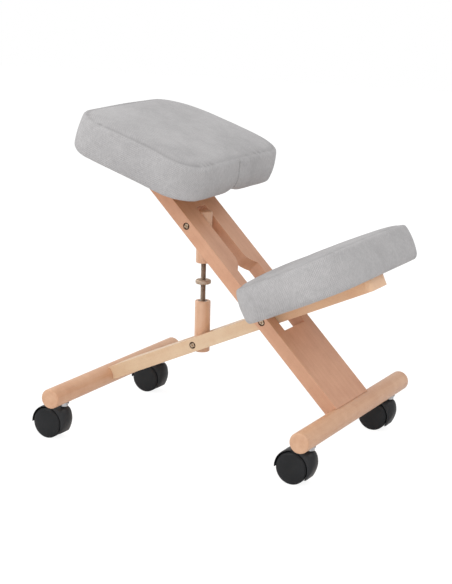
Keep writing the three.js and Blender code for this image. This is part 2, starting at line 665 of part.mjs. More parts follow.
// Seat, in its own frame: z = 0 is the underside of its plate, the board crosses it at x = 0.
function seatPieces(crossX) {
  const parts = [];
  const seatSizes = [SEAT_LENGTH, SEAT_REAR_WIDTH, SEAT_FRONT_WIDTH, SEAT_CORNER_RADIUS];
  const plate = cushionPlate(...seatSizes);
  const cleatY = (BOARD_WIDTH + CLEAT_WIDTH) / 2 + FIT_GAP;
  const screwBottom = -CLEAT_HEIGHT + FIT_GAP;
  const plateTools = [];
  for (const [label, side] of [['right', -1], ['left', 1]]) {
    const cleatTools = [];
    for (const [end, step] of [['rear', -1], ['front', 1]]) {
      const x = CLEAT_AHEAD + step * CLEAT_SCREW_SPACING / 2;
      const hole = screwHole(screwBottom, SCREW_GRIP);
      hole.translate(x, side * cleatY, 0);
      cleatTools.push(hole);
      const plateHole = hole.clone();
      plateHole.translate(-SEAT_AHEAD_OF_BOARD, 0, 0);
      plateTools.push(plateHole);
      const body = screw(screwBottom, SCREW_GRIP);
      body.translate(x, side * cleatY, 0);
      parts.push(piece('seat_screw_' + label + '_' + end, body, BRIGHT_STEEL));
    }
    const block = new THREE.BoxGeometry(CLEAT_LENGTH, CLEAT_WIDTH, CLEAT_HEIGHT);
    block.translate(CLEAT_AHEAD, side * cleatY, -CLEAT_HEIGHT / 2 - FIT_GAP);
    const boltHole = rodAlongY(CROSS_BOLT_DIAMETER / 2 + FIT_GAP, CLEAT_WIDTH + 2 * CUT_OVERRUN, PIN_SIDES);
    boltHole.translate(crossX, side * cleatY, -CLEAT_HEIGHT / 2);
    parts.push(piece('seat_cleat_' + label, cut(block, [...cleatTools, boltHole]), BEECH));
  }

  const headThickness = CROSS_BOLT_DIAMETER / 2;
  const outerY = BOARD_WIDTH / 2 + CLEAT_WIDTH + 2 * FIT_GAP;
  const bolt = [rodAlongY(CROSS_BOLT_DIAMETER / 2, 2 * (outerY + headThickness), PIN_SIDES)];
  for (const side of [-1, 1]) {
    const head = rodAlongY(CROSS_BOLT_DIAMETER, headThickness, HEX_SIDES);
    head.translate(0, side * (outerY + headThickness / 2), 0);
    bolt.push(head);
  }
  const crossBoltBody = join(bolt);
  crossBoltBody.translate(crossX, 0, -CLEAT_HEIGHT / 2);
  parts.push(piece('seat_cross_bolt', crossBoltBody, BRIGHT_STEEL));

  const upholstery = groupAt(SEAT_AHEAD_OF_BOARD, 0, 0);
  upholstery.add(piece('seat_base', cut(plate, plateTools), PLYWOOD));
  upholstery.add(piece('seat_cushion', cushion(...seatSizes, SEAT_HEM_DROP, SEAT_WALL, SEAT_CROWN, plate), GREY_FABRIC));
  parts.push(upholstery);
  return parts;
}

// A wooden barrel along Z with its cross-bolt hole at the origin and its mouth at the top.
function barrel(boreRadius) {
  const body = turned([
    [0, -BARREL_BOLT_MARGIN],
    [BARREL_RADIUS - BARREL_CHAMFER, -BARREL_BOLT_MARGIN],
    [BARREL_RADIUS, -BARREL_BOLT_MARGIN + BARREL_CHAMFER],
    [BARREL_RADIUS, BARREL_MOUTH - BARREL_CHAMFER],
    [BARREL_RADIUS - BARREL_CHAMFER, BARREL_MOUTH],
    [0, BARREL_MOUTH],
  ], LARGE_SIDES);
  const boreBottom = BOLT_RADIUS + FIT_GAP + BORE_END_WALL;
  const insertHole = INSERT_DIAMETER / 2 + FIT_GAP;
  return cut(body, [
    rodAlongY(BOLT_RADIUS + FIT_GAP, BARREL_DIAMETER + 2 * CUT_OVERRUN, SMALL_SIDES),
    rodAlongZ(boreRadius, boreBottom, BARREL_MOUTH + CUT_OVERRUN, SMALL_SIDES),
    rodAlongZ(insertHole, BARREL_MOUTH - INSERT_LENGTH - FIT_GAP, BARREL_MOUTH + CUT_OVERRUN, SMALL_SIDES),
  ]);
}

// The threaded insert in a barrel's mouth.
function insert(boreRadius) {
  const bottom = BARREL_MOUTH - INSERT_LENGTH;
  const sleeve = rodAlongZ(INSERT_DIAMETER / 2, bottom, BARREL_MOUTH, SMALL_SIDES);
  return cut(sleeve, [rodAlongZ(boreRadius, bottom - CUT_OVERRUN, BARREL_MOUTH + CUT_OVERRUN, SMALL_SIDES)]);
}

// Screw adjuster, in its own frame: the lower bolt is the origin, +Z runs up the rod.
function adjusterPieces() {
  const snug = ROD_RADIUS + FIT_GAP;
  const loose = ROD_RADIUS + ROD_SWAY;
  const parts = [
    piece('lower_barrel', barrel(loose), PALE_BEECH),
    piece('lower_insert', insert(snug), BRIGHT_STEEL),
  ];

  const hanging = groupAt(0, 0, boltDistance);
  hanging.rotation.x = Math.PI;
  hanging.add(piece('upper_barrel', barrel(loose), PALE_BEECH));
  hanging.add(piece('upper_insert', insert(loose), BRIGHT_STEEL));
  parts.push(hanging);

  const rodMiddle = groupAt(0, 0, boltDistance / 2);
  const rod = turned([
    [0, -rodLength / 2],
    [ROD_RADIUS - ROD_CHAMFER, -rodLength / 2],
    [ROD_RADIUS, -rodLength / 2 + ROD_CHAMFER],
    [ROD_RADIUS, rodLength / 2 - ROD_CHAMFER],
    [ROD_RADIUS - ROD_CHAMFER, rodLength / 2],
    [0, rodLength / 2],
  ], SMALL_SIDES);
  rodMiddle.add(piece('threaded_rod', rod, BRONZED_STEEL));

  const discRadius = HAND_DISC_DIAMETER / 2;
  const discHalf = HAND_DISC_THICKNESS / 2;
  const disc = turned([
    [0, -discHalf],
    [discRadius - HAND_DISC_ROUNDING, -discHalf],
    [discRadius, -discHalf + HAND_DISC_ROUNDING],
    [discRadius, discHalf - HAND_DISC_ROUNDING],
    [discRadius - HAND_DISC_ROUNDING, discHalf],
    [0, discHalf],
  ], LARGE_SIDES);
  const discBore = rodAlongZ(snug, -discHalf - CUT_OVERRUN, discHalf + CUT_OVERRUN, SMALL_SIDES);
  rodMiddle.add(piece('hand_disc', cut(disc, [discBore]), BRIGHT_STEEL));
  parts.push(rodMiddle);
  return parts;
}

// A tool that rounds the hood's nose off towards both sides.
function noseTool(width) {
  const noseX = CASTOR_TRAIL + HOOD_NOSE_REACH;
  const rearX = noseX - HOOD_NOSE_DEPTH;
  const outside = width / 2 + CUT_OVERRUN;
  const plan = new THREE.Shape();
  plan.moveTo(rearX, -outside);
  plan.lineTo(noseX + CUT_OVERRUN, -outside);
  plan.lineTo(noseX + CUT_OVERRUN, outside);
  plan.lineTo(rearX, outside);
  plan.absellipse(rearX, 0, HOOD_NOSE_DEPTH, width / 2, Math.PI / 2, -Math.PI / 2, true);
  plan.closePath();
  return flatBoard(plan, 4 * HOOD_OUTER_RADIUS, HOOD_NOSE_STEPS);
}

// Hood outline in X and Z about the axle: a fender over the wheels that rises to the stem's boss.
function hoodOutline(innerRadius) {
  const outer = HOOD_OUTER_RADIUS;
  const top = HOOD_TOP_HEIGHT - WHEEL_RADIUS;
  const bossRear = CASTOR_TRAIL - HOOD_BOSS_HALF_LENGTH;
  const noseX = CASTOR_TRAIL + HOOD_NOSE_REACH;
  const noseHeight = HOOD_NOSE_HEIGHT - WHEEL_RADIUS;
  const tail = THREE.MathUtils.degToRad(HOOD_TAIL_DEGREES);
  const nose = THREE.MathUtils.degToRad(HOOD_NOSE_DEGREES);
  const step = THREE.MathUtils.degToRad(HOOD_STEP_DEGREES);
  // The straight rise to the boss leaves the round fender where it is tangent to it.
  const bossDistance = Math.hypot(bossRear, top);
  const tangent = Math.atan2(top, bossRear) + Math.acos(outer / bossDistance);
  const shape = new THREE.Shape();
  shape.moveTo(outer * Math.cos(tail), outer * Math.sin(tail));
  for (let angle = tail - step; angle > tangent; angle -= step) {
    shape.lineTo(outer * Math.cos(angle), outer * Math.sin(angle));
  }
  shape.lineTo(outer * Math.cos(tangent), outer * Math.sin(tangent));
  shape.lineTo(bossRear, top);
  shape.lineTo(CASTOR_TRAIL, top);
  shape.quadraticCurveTo(noseX, top, noseX, noseHeight);
  shape.quadraticCurveTo(noseX, 0, outer * Math.cos(nose), outer * Math.sin(nose));
  if (innerRadius > 0) {
    shape.lineTo(innerRadius * Math.cos(nose), innerRadius * Math.sin(nose));
    for (let angle = nose + step; angle < tail; angle += step) {
      shape.lineTo(innerRadius * Math.cos(angle), innerRadius * Math.sin(angle));
    }
    shape.lineTo(innerRadius * Math.cos(tail), innerRadius * Math.sin(tail));
  }
  shape.closePath();
  return shape;
}

// One castor, in a frame whose origin is on the floor under its stem, trailing towards -X.
function castorPieces(place) {
  const name = (part) => place + '_castor_' + part;
  const wheelInner = WEB_THICKNESS / 2 + WHEEL_SIDE_GAP;
  const wheelOuter = wheelInner + WHEEL_WIDTH;
  const fenderWidth = 2 * (wheelOuter - WHEEL_DOME);
  const wheelX = -CASTOR_TRAIL;

  const stemRadius = STEM_DIAMETER / 2;
  const stemBottom = HOOD_TOP_HEIGHT - STEM_IN_HOOD;
  const collarTop = HOOD_TOP_HEIGHT + STEM_COLLAR_HEIGHT;
  const flangeTop = FLANGE_TOP_HEIGHT;
  const stemTop = flangeTop + STEM_IN_BAR;

  // Hood: a fender over both wheels and a web between them that holds the axle and the stem.
  const fender = sideProfile(hoodOutline(WHEEL_RADIUS + HOOD_WHEEL_GAP), fenderWidth, PIN_SIDES / 2);
  const web = sideProfile(hoodOutline(0), WEB_THICKNESS, PIN_SIDES / 2);
  const boss = rodAlongZ(stemRadius + HOOD_WALL, stemBottom - HOOD_WALL - WHEEL_RADIUS,
    HOOD_TOP_HEIGHT - WHEEL_RADIUS, PIN_SIDES);
  boss.translate(CASTOR_TRAIL, 0, 0);
  const axleHole = rodAlongY(AXLE_DIAMETER / 2 + FIT_GAP, fenderWidth, PIN_SIDES);
  const stemHole = rodAlongZ(stemRadius + FIT_GAP, stemBottom - FIT_GAP - WHEEL_RADIUS,
    HOOD_TOP_HEIGHT - WHEEL_RADIUS + CUT_OVERRUN, PIN_SIDES);
  stemHole.translate(CASTOR_TRAIL, 0, 0);
  const hood = cut(join([fender, web, boss]), [axleHole, stemHole, noseTool(fenderWidth)]);
  hood.translate(wheelX, 0, WHEEL_RADIUS);

  const stem = turned([
    [0, stemBottom],
    [stemRadius, stemBottom],
    [stemRadius, HOOD_TOP_HEIGHT + FIT_GAP],
    [STEM_COLLAR_DIAMETER / 2, HOOD_TOP_HEIGHT + FIT_GAP],
    [STEM_COLLAR_DIAMETER / 2, collarTop],
    [stemRadius, collarTop],
    [stemRadius, stemTop - stemRadius / 2],
    [0, stemTop],
  ], PIN_SIDES);

  const socketInner = stemRadius + FIT_GAP;
  const socket = turned([
    [socketInner, collarTop + FIT_GAP],
    [SOCKET_FLANGE_DIAMETER / 2, collarTop + FIT_GAP],
    [SOCKET_FLANGE_DIAMETER / 2, flangeTop],
    [SOCKET_DIAMETER / 2, flangeTop],
    [SOCKET_DIAMETER / 2, stemTop],
    [socketInner, stemTop],
    [socketInner, collarTop + FIT_GAP],
  ], SMALL_SIDES);

  const axle = rodAlongY(AXLE_DIAMETER / 2, 2 * (wheelOuter - HUB_RECESS), PIN_SIDES);
  axle.translate(wheelX, 0, WHEEL_RADIUS);

  const parts = [
    piece(name('socket'), socket, BRIGHT_STEEL),
    piece(name('stem'), stem, BRIGHT_STEEL),
    piece(name('hood'), hood, BLACK_PLASTIC),
    piece(name('axle'), axle, BRIGHT_STEEL),
  ];

  // Wheels are turned with a flat facet down, so that the facet lies on the floor.
  const facetRadius = (radius) => radius / Math.cos(Math.PI / WHEEL_SIDES);
  const boreRadius = AXLE_DIAMETER / 2 + FIT_GAP;
  const blindEnd = WHEEL_WIDTH - HUB_RECESS + FIT_GAP;
  for (const [label, side] of [['right', -1], ['left', 1]]) {
    const wheel = turned([
      [boreRadius, 0],
      [facetRadius(WHEEL_RADIUS - WHEEL_TYRE_ROUNDING), 0],
      [facetRadius(WHEEL_RADIUS), WHEEL_TYRE_ROUNDING],
      [facetRadius(WHEEL_RADIUS), WHEEL_WIDTH - WHEEL_DOME - WHEEL_TYRE_ROUNDING],
      [facetRadius(WHEEL_RADIUS - WHEEL_TYRE_ROUNDING), WHEEL_WIDTH - WHEEL_DOME],
      [facetRadius(WHEEL_RADIUS * 0.55), WHEEL_WIDTH - WHEEL_DOME / 4],
      [0, WHEEL_WIDTH],
      [0, blindEnd],
      [boreRadius, blindEnd],
      [boreRadius, 0],
    ], WHEEL_SIDES);
    wheel.rotateZ(Math.PI / WHEEL_SIDES);
    wheel.rotateX(-side * Math.PI / 2);
    wheel.translate(wheelX, side * wheelInner, WHEEL_RADIUS);
    parts.push(piece(name('wheel_' + label), wheel, BLACK_PLASTIC));
  }
  return parts;
}

// A foot bar with its castors, in a frame whose origin is on the floor under the bar's middle.
// The dowel holes point along the board or beam, which leaves the bar at `armAngle` above +X.
function footPieces(end, armAngle, dowelSpacing) {
  const barAxis = FOOT_AXIS_HEIGHT;
  const half = BAR_LENGTH / 2;
  const bar = turned([
    [0, -half],
    [BAR_RADIUS - BAR_CHAMFER, -half],
    [BAR_RADIUS, -half + BAR_CHAMFER],
    [BAR_RADIUS, half - BAR_CHAMFER],
    [BAR_RADIUS - BAR_CHAMFER, half],
    [0, half],
  ], LARGE_SIDES);
  bar.rotateX(Math.PI / 2);
  bar.translate(0, 0, barAxis);

  const tools = [];
  for (const tool of dowels(BAR_RADIUS, dowelSpacing, DOWEL_HOLE_RADIUS, DOWEL_HOLE_LENGTH)) {
    tool.rotateY(-armAngle);
    tool.translate(0, 0, barAxis);
    tools.push(tool);
  }
  const parts = [];
  for (const [label, side] of [['right', -1], ['left', 1]]) {
    const y = side * (half - CASTOR_INSET);
    const spotFace = rodAlongZ(SOCKET_FLANGE_DIAMETER / 2 + FIT_GAP, barAxis - BAR_DIAMETER,
      FLANGE_TOP_HEIGHT + FIT_GAP, SMALL_SIDES);
    const bore = rodAlongZ(SOCKET_DIAMETER / 2 + FIT_GAP, barAxis - BAR_DIAMETER,
      FLANGE_TOP_HEIGHT + STEM_IN_BAR + FIT_GAP, SMALL_SIDES);
    for (const tool of [spotFace, bore]) {
      tool.translate(0, y, 0);
      tools.push(tool);
    }
    const castor = groupAt(0, y, 0);
    castor.add(...castorPieces(end + '_' + label));
    parts.push(castor);
  }
  parts.push(piece(end + '_foot_bar', cut(bar, tools), BEECH));
  return parts;
}

const chair = new THREE.Group();

const beamFrame = groupAt(pivot.x, 0, pivot.z, -beamAngle);
beamFrame.add(...beamPieces());
const boardFrame = groupAt(pivot.x, 0, pivot.z, boardAngle);
boardFrame.add(...boardPieces());
const adjusterFrame = groupAt(lowerBolt.x, 0, lowerBolt.z, rodAngle);
adjusterFrame.add(...adjusterPieces());
const rearFoot = groupAt(0, 0, 0);
rearFoot.add(...footPieces('rear', beamAngle, BEAM_DOWEL_SPACING));
const frontFoot = groupAt(WHEELBASE, 0, 0);
frontFoot.add(...footPieces('front', Math.PI - boardAngle, BOARD_DOWEL_SPACING));
chair.add(beamFrame, boardFrame, adjusterFrame, rearFoot, frontFoot);

// The origin goes to the middle of the chair's box, on the floor.
chair.updateMatrixWorld(true);
const box = new THREE.Box3().setFromObject(chair, true);
chair.position.set(-(box.min.x + box.max.x) / 2, -(box.min.y + box.max.y) / 2, -box.min.z);

const group = new THREE.Group();
group.add(chair);
export default group;
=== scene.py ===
"""Looks of a wooden kneeling chair with grey cushions, on four black castors.

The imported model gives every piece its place. This script dresses it in metres, in the same frame:
+X is the way the sitter faces, +Y the sitter's left, +Z up, with the floor at z = 0.
"""

import json
import logging
import math
from collections.abc import Callable, Sequence
from dataclasses import dataclass, field
from enum import Enum

import bmesh
import bpy
import numpy as np
from mathutils import Matrix, Vector


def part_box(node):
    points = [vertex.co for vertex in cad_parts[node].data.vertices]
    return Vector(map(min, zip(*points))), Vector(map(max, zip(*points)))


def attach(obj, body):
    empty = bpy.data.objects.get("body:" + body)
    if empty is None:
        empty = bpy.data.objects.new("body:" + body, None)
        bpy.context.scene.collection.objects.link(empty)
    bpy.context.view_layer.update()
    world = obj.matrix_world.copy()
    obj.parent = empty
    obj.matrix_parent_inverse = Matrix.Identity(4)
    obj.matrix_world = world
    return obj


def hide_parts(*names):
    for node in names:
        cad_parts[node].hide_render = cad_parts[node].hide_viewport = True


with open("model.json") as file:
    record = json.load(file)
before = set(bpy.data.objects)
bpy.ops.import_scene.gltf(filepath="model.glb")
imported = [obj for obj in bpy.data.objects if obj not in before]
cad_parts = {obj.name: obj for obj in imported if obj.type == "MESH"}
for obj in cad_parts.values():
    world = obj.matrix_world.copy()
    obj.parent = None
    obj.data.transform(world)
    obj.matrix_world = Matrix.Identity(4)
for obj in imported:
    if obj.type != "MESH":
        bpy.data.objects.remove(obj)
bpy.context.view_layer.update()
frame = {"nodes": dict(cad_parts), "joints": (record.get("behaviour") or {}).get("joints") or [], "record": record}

Colour = tuple[float, float, float]
Place = tuple[float, float]
EdgeTest = Callable[[Vector], bool]

MM = 0.001
MERGE_DISTANCE = 0.002 * MM
FLAT_ANGLE = math.radians(0.5)
SMOOTH_ANGLE = math.radians(32)
# A face with this many corners or more is the flat end of something round.
END_FACE_CORNERS = 7
ROUND_STEPS = 72

log = logging.getLogger("kneeling_chair")


def shades(*screens: tuple[int, int, int]) -> list[Colour]:
    """Colours given in 0 to 255 screen values, as the linear values that shaders take.

    Args:
        screens: Red, green and blue of each colour, by the usual screen curve.

    Returns:
        The linear colours.
    """
    shares = [[value / 255 for value in screen] for screen in screens]
    return [tuple(s / 12.92 if s <= 0.04045 else ((s + 0.055) / 1.055) ** 2.4 for s in colour)
            for colour in shares]


class Amount:
    """A number in a material's nodes, on which arithmetic adds Math nodes."""

    def __init__(self, shader: "Shader", socket: bpy.types.NodeSocket) -> None:
        """Wraps a socket of the given shader."""
        self.shader = shader
        self.socket = socket

    def join(self, operation: str, *others: "Amount | float", swap: bool = False) -> "Amount":
        """Adds a Math node.

        Args:
            operation: The Math node's operation.
            others: The other inputs.
            swap: Puts this number second, for reflected operators.

        Returns:
            The node's result.
        """
        values = [self, *others]
        if swap:
            values.reverse()
        links = {i: v.socket if isinstance(v, Amount) else v for i, v in enumerate(values)}
        made = self.shader.node("ShaderNodeMath", {"operation": operation}, links)
        return Amount(self.shader, made.outputs[0])

    def __add__(self, other: "Amount | float") -> "Amount":
        """Sum."""
        return self.join("ADD", other)

    __radd__ = __add__

    def __sub__(self, other: "Amount | float") -> "Amount":
        """Difference."""
        return self.join("SUBTRACT", other)

    def __rsub__(self, other: float) -> "Amount":
        """Reflected difference."""
        return self.join("SUBTRACT", other, swap=True)

    def __mul__(self, other: "Amount | float") -> "Amount":
        """Product."""
        return self.join("MULTIPLY", other)

    __rmul__ = __mul__

    def sine(self) -> "Amount":
        """Sine of the number."""
        return self.join("SINE")

    def between(self, low: float, high: float) -> "Amount":
        """Smooth step of the number.

        Args:
            low: Where the step starts from 0.
            high: Where it reaches 1.

        Returns:
            The step's value.
        """
        settings = {"interpolation_type": "SMOOTHSTEP"}
        made = self.shader.node("ShaderNodeMapRange", settings, {0: self.socket, 1: low, 2: high})
        return Amount(self.shader, made.outputs[0])


class Shader:
    """One material and its nodes."""

    def __init__(self, name: str) -> None:
        """Makes an empty material with a Principled shader."""
        self.material = bpy.data.materials.new(name)
        self.material.use_nodes = True
        self.tree = self.material.node_tree
        self.surface = next(n for n in self.tree.nodes if n.type == "BSDF_PRINCIPLED")

    def node(self, kind: str, settings: dict | None = None, inputs: dict | None = None) -> bpy.types.Node:
        """Adds a node.

        Args:
            kind: The node's type.
            settings: Its properties, or a ramp's stops under "stops".
            inputs: Values or sockets for its inputs, by name or number.

        Returns:
            The node.
        """
        made = self.tree.nodes.new(kind)
        for key, value in (settings or {}).items():
            if key == "stops":
                ramp = made.color_ramp
                while len(ramp.elements) < len(value):
                    ramp.elements.new(1)
                for element, (position, colour) in zip(ramp.elements, value):
                    element.position = position
                    element.color = (*colour, 1)
            else:
                setattr(made, key, value)
        for key, value in (inputs or {}).items():
            if isinstance(value, Amount):
                value = value.socket
            if isinstance(value, bpy.types.NodeSocket):
                self.tree.links.new(value, made.inputs[key])
            else:
                made.inputs[key].default_value = value
        return made

    def set(self, **values: float | Colour) -> None:
        """Sets the surface's own sockets, named with underscores for spaces."""
        for key, value in values.items():
            socket = self.surface.inputs[key.replace("_", " ").title().replace("Ior", "IOR")]
            socket.default_value = (*value, 1) if isinstance(value, tuple) else value

    def feed(self, name: str, source: Amount | bpy.types.NodeSocket) -> None:
        """Links a source to one of the surface's sockets."""
        socket = source.socket if isinstance(source, Amount) else source
        self.tree.links.new(socket, self.surface.inputs[name])

    def axes(self, vector: bpy.types.NodeSocket) -> tuple[Amount, Amount, Amount]:
        """Splits a vector into its three numbers."""
        split = self.node("ShaderNodeSeparateXYZ", None, {0: vector})
        return tuple(Amount(self, output) for output in split.outputs)

    def object_place(self) -> bpy.types.NodeSocket:
        """The place on the piece in the chair's frame."""
        return self.node("ShaderNodeTexCoord").outputs["Object"]

    def attribute(self, name: str) -> Amount:
        """A number that the mesh holds for each vertex."""
        return Amount(self, self.node("ShaderNodeAttribute", {"attribute_name": name}).outputs["Fac"])

    def mapped(self, vector: bpy.types.NodeSocket, turn: Sequence[float],
               scale: Sequence[float]) -> bpy.types.NodeSocket:
        """Turns a vector, then scales it.

        Args:
            vector: The vector's socket.
            turn: Turns about X, Y and Z.
            scale: Scales along the turned X, Y and Z.

        Returns:
            The result's socket.
        """
        for name, values in (("Rotation", turn), ("Scale", scale)):
            inputs = {0: vector, name: tuple(values)}
            vector = self.node("ShaderNodeMapping", {"vector_type": "POINT"}, inputs).outputs[0]
        return vector

    def noise(self, vector: bpy.types.NodeSocket, scale: float, detail: float = 2,
              roughness: float = 0.5) -> Amount:
        """Noise from about 0 to 1.

        Args:
            vector: Where it is read.
            scale: How many lumps it has in a metre.
            detail: How many finer layers it has.
            roughness: How strong they are.

        Returns:
            The noise.
        """
        inputs = {"Vector": vector, "Scale": scale, "Detail": detail, "Roughness": roughness}
        return Amount(self, self.node("ShaderNodeTexNoise", None, inputs).outputs[0])

    def blend(self, amount: Amount, first: Colour | bpy.types.NodeSocket,
              second: Colour | bpy.types.NodeSocket) -> bpy.types.NodeSocket:
        """Mixes two colours by a number from 0 to 1.

        Args:
            amount: 0 gives the first colour, 1 the second.
            first: A colour, or the socket that gives it.
            second: The other one.

        Returns:
            The mixed colour's socket.
        """
        pair = [(*c, 1) if isinstance(c, tuple) else c for c in (first, second)]
        made = self.node("ShaderNodeMix", {"data_type": "RGBA"}, {0: amount, 6: pair[0], 7: pair[1]})
        return made.outputs[2]

    def raise_surface(self, height: Amount, distance: float, strength: float) -> None:
        """Bumps the surface by a height from 0 to 1 times a distance."""
        inputs = {"Height": height, "Distance": distance, "Strength": strength}
        self.feed("Normal", self.node("ShaderNodeBump", None, inputs).outputs[0])


class Grain(Enum):
    """Which way the wood's grain runs on a piece."""

    ALONG_BOARD = "board"
    ALONG_BEAM = "beam"
    ALONG_BAR = "bar"
    UPRIGHT = "upright"
    ALONG_SEAT = "seat"


@dataclass(frozen=True)
class Layout:
    """Places and angles of the folding frame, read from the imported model."""

    pivot: Vector
    lower_bolt: Vector
    upper_bolt: Vector
    seat_tilt: float = math.radians(18)

    @classmethod
    def read(cls) -> "Layout":
        """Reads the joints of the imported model."""
        places = {joint["name"]: Vector(joint["pos_m"]) for joint in frame["joints"] if "pos_m" in joint}
        return cls(places["fold"], places["lower_barrel_tilt"], places["upper_barrel_tilt"])

    @property
    def beam_angle(self) -> float:
        """How far the lower beam rises towards the knees."""
        way = self.pivot - self.lower_bolt
        return math.atan2(way.z, way.x)

    @property
    def board_angle(self) -> float:
        """How far the main board falls towards the front."""
        way = self.pivot - self.upper_bolt
        return math.atan2(-way.z, way.x)

    @property
    def rod_place(self) -> Matrix:
        """Takes a shape along Z to the screw, with its origin at the screw's middle."""
        way = self.upper_bolt - self.lower_bolt
        middle = (self.lower_bolt + self.upper_bolt) / 2
        return Matrix.Translation(middle) @ Matrix.Rotation(math.atan2(way.x, way.z), 4, "Y")

    def grain_turn(self, grain: Grain) -> tuple[float, float, float]:
        """The turn that lays the given grain along X.

        Args:
            grain: Which way the grain runs.

        Returns:
            Turns about X, Y and Z.
        """
        return {
            Grain.ALONG_BOARD: (0, -self.board_angle, 0),
            Grain.ALONG_BEAM: (0, self.beam_angle, 0),
            Grain.ALONG_BAR: (0, 0, -math.pi / 2),
            Grain.UPRIGHT: (0, math.pi / 2, 0),
            Grain.ALONG_SEAT: (0, -self.seat_tilt, 0),
        }[grain]


@dataclass(frozen=True)
class Wood:
    """Lacquered beech: long faint growth bands and short dark flecks along the grain.

    A wood with lit front colours changes to them along the chair, between two places given along X: these colours
    are painted warm bounce light, lighter and warmer, for the shaded front of the beam.
    The shares say how much of the dark colour each pattern brings in.
    """

    name: str
    pale: Colour
    dark: Colour
    fleck: Colour
    # Colours of painted warm bounce light towards the chair's front, and where along X they take over.
    bounce_lit_pale: Colour | None = None
    bounce_lit_dark: Colour | None = None
    bounce_light_span: tuple[float, float] = (0.11, 0.15)
    band_length: float = 0.30
    band_width: float = 0.011
    fleck_length: float = 0.0032
    fleck_width: float = 0.0006
    tone_lumps: float = 7.0
    blotch_lumps: float = 34.0
    band_share: float = 0.36
    fine_share: float = 0.10
    tone_share: float = 0.22
    blotch_share: float = 0.32
    fleck_share: float = 0.34
    roughness: float = 0.42
    pore_depth: float = 0.12 * MM

    def material(self, turn: Sequence[float]) -> bpy.types.Material:
        """Makes the finish.

        Args:
            turn: The turn that lays the grain along X.

        Returns:
            The material.
        """
        shader = Shader(self.name)
        place = shader.object_place()
        along = shader.mapped(place, turn, self.stretch(self.band_length, self.band_width))
        bands = shader.noise(along, 1.0, 3, 0.5)
        fine = shader.noise(along, 5.0, 3, 0.6)
        tone = shader.noise(place, self.tone_lumps, 1)
        fleck_place = shader.mapped(place, turn, self.stretch(self.fleck_length, self.fleck_width))
        flecks = shader.noise(fleck_place, 1.0, 1).between(0.64, 0.74)
        blotch = shader.noise(place, self.blotch_lumps, 3, 0.6)
        depth = (bands.between(0.22, 0.80) * self.band_share + fine.between(0.25, 0.75) * self.fine_share
                 + tone.between(0.3, 0.7) * self.tone_share + blotch.between(0.3, 0.72) * self.blotch_share)
        wood = shader.blend(depth, self.pale, self.dark)
        # Painted warm bounce light: the wood turns lighter and warmer towards the front.
        if self.bounce_lit_pale and self.bounce_lit_dark:
            front = shader.blend(depth, self.bounce_lit_pale, self.bounce_lit_dark)
            wood = shader.blend(shader.axes(place)[0].between(*self.bounce_light_span), wood, front)
        shader.feed("Base Color", shader.blend(flecks * self.fleck_share, wood, self.fleck))
        shader.feed("Roughness", self.roughness + (fine - 0.5) * 0.14 + flecks * 0.08)
        shader.set(coat_weight=0.12, coat_roughness=0.3)
        shader.raise_surface(fine * 0.6 - flecks * 0.4, self.pore_depth, 0.5)
        return shader.material

    @staticmethod
    def stretch(length: float, width: float) -> Sequence[float]:
        """The scales that give marks of a length and width along X."""
        return (1 / length, 1 / width, 1 / width)


@dataclass(frozen=True)
class Fabric:
    """Light grey upholstery: a twill of slanting ribs over crossed yarns.

    The shares say how much of the light colour each pattern brings in. The fold colour is painted shade, laid on
    in the creases and along the seam.
    """

    name: str
    light: Colour
    shade: Colour
    # The colour of the painted shade in creases and along the seam.
    fold: Colour
    rib_pitch: float = 4.6 * MM
    yarn_pitch: float = 4.2 * MM
    relief: float = 0.45 * MM
    wander: float = 4.0
    slub_lumps: tuple[float, float, float] = (420.0, 420.0, 160.0)
    fluff_lumps: float = 2600.0
    rib_share: float = 0.26
    yarn_share: float = 0.26
    slub_share: float = 0.20
    fluff_share: float = 0.08
    cloud_share: float = 0.20
    least_rib: float = 0.35
    painted_shade_share: float = 0.6

    def material(self) -> bpy.types.Material:
        """Makes the finish, which follows the piece's UV map in metres."""
        shader = Shader(self.name)
        flat = shader.node("ShaderNodeUVMap", {"uv_map": "cloth"}).outputs[0]
        across, along, _ = shader.axes(flat)
        place = shader.object_place()
        turn = 2 * math.pi
        wander = shader.noise(place, 22.0, 2) * self.wander
        rib = ((across + along) * (turn / self.rib_pitch) + wander).sine() * 0.5 + 0.5
        crossed = [(way * (turn / self.yarn_pitch)).sine() for way in (across, along)]
        yarn = crossed[0] * crossed[1] * 0.5 + 0.5
        fluff = shader.noise(place, self.fluff_lumps, 3, 0.7)
        cloudy = shader.noise(place, 9.0, 3, 0.55)
        worn = shader.noise(place, 60.0, 3, 0.6)
        slub = shader.noise(shader.mapped(place, (0, 0, 0), self.slub_lumps), 1.0, 2, 0.6)
        weave = rib * (self.least_rib + worn.between(0.35, 0.65) * (1 - self.least_rib))
        depth = (weave * self.rib_share + yarn * self.yarn_share + slub.between(0.3, 0.7) * self.slub_share
                 + fluff * self.fluff_share + cloudy.between(0.3, 0.7) * self.cloud_share)
        cloth = shader.blend(depth, self.shade, self.light)
        # Painted shade: the cloth darkens towards the fold colour in creases and along the seam.
        crease = shader.attribute("crease") * self.painted_shade_share
        shader.feed("Base Color", shader.blend(crease, cloth, self.fold))
        shader.feed("Roughness", 0.97 - depth * 0.08)
        shader.set(specular_ior_level=0.18, sheen_weight=0.12, sheen_roughness=0.5)
        shader.raise_surface(rib * 0.55 + yarn * 0.3 + fluff * 0.15, self.relief, 0.55)
        return shader.material


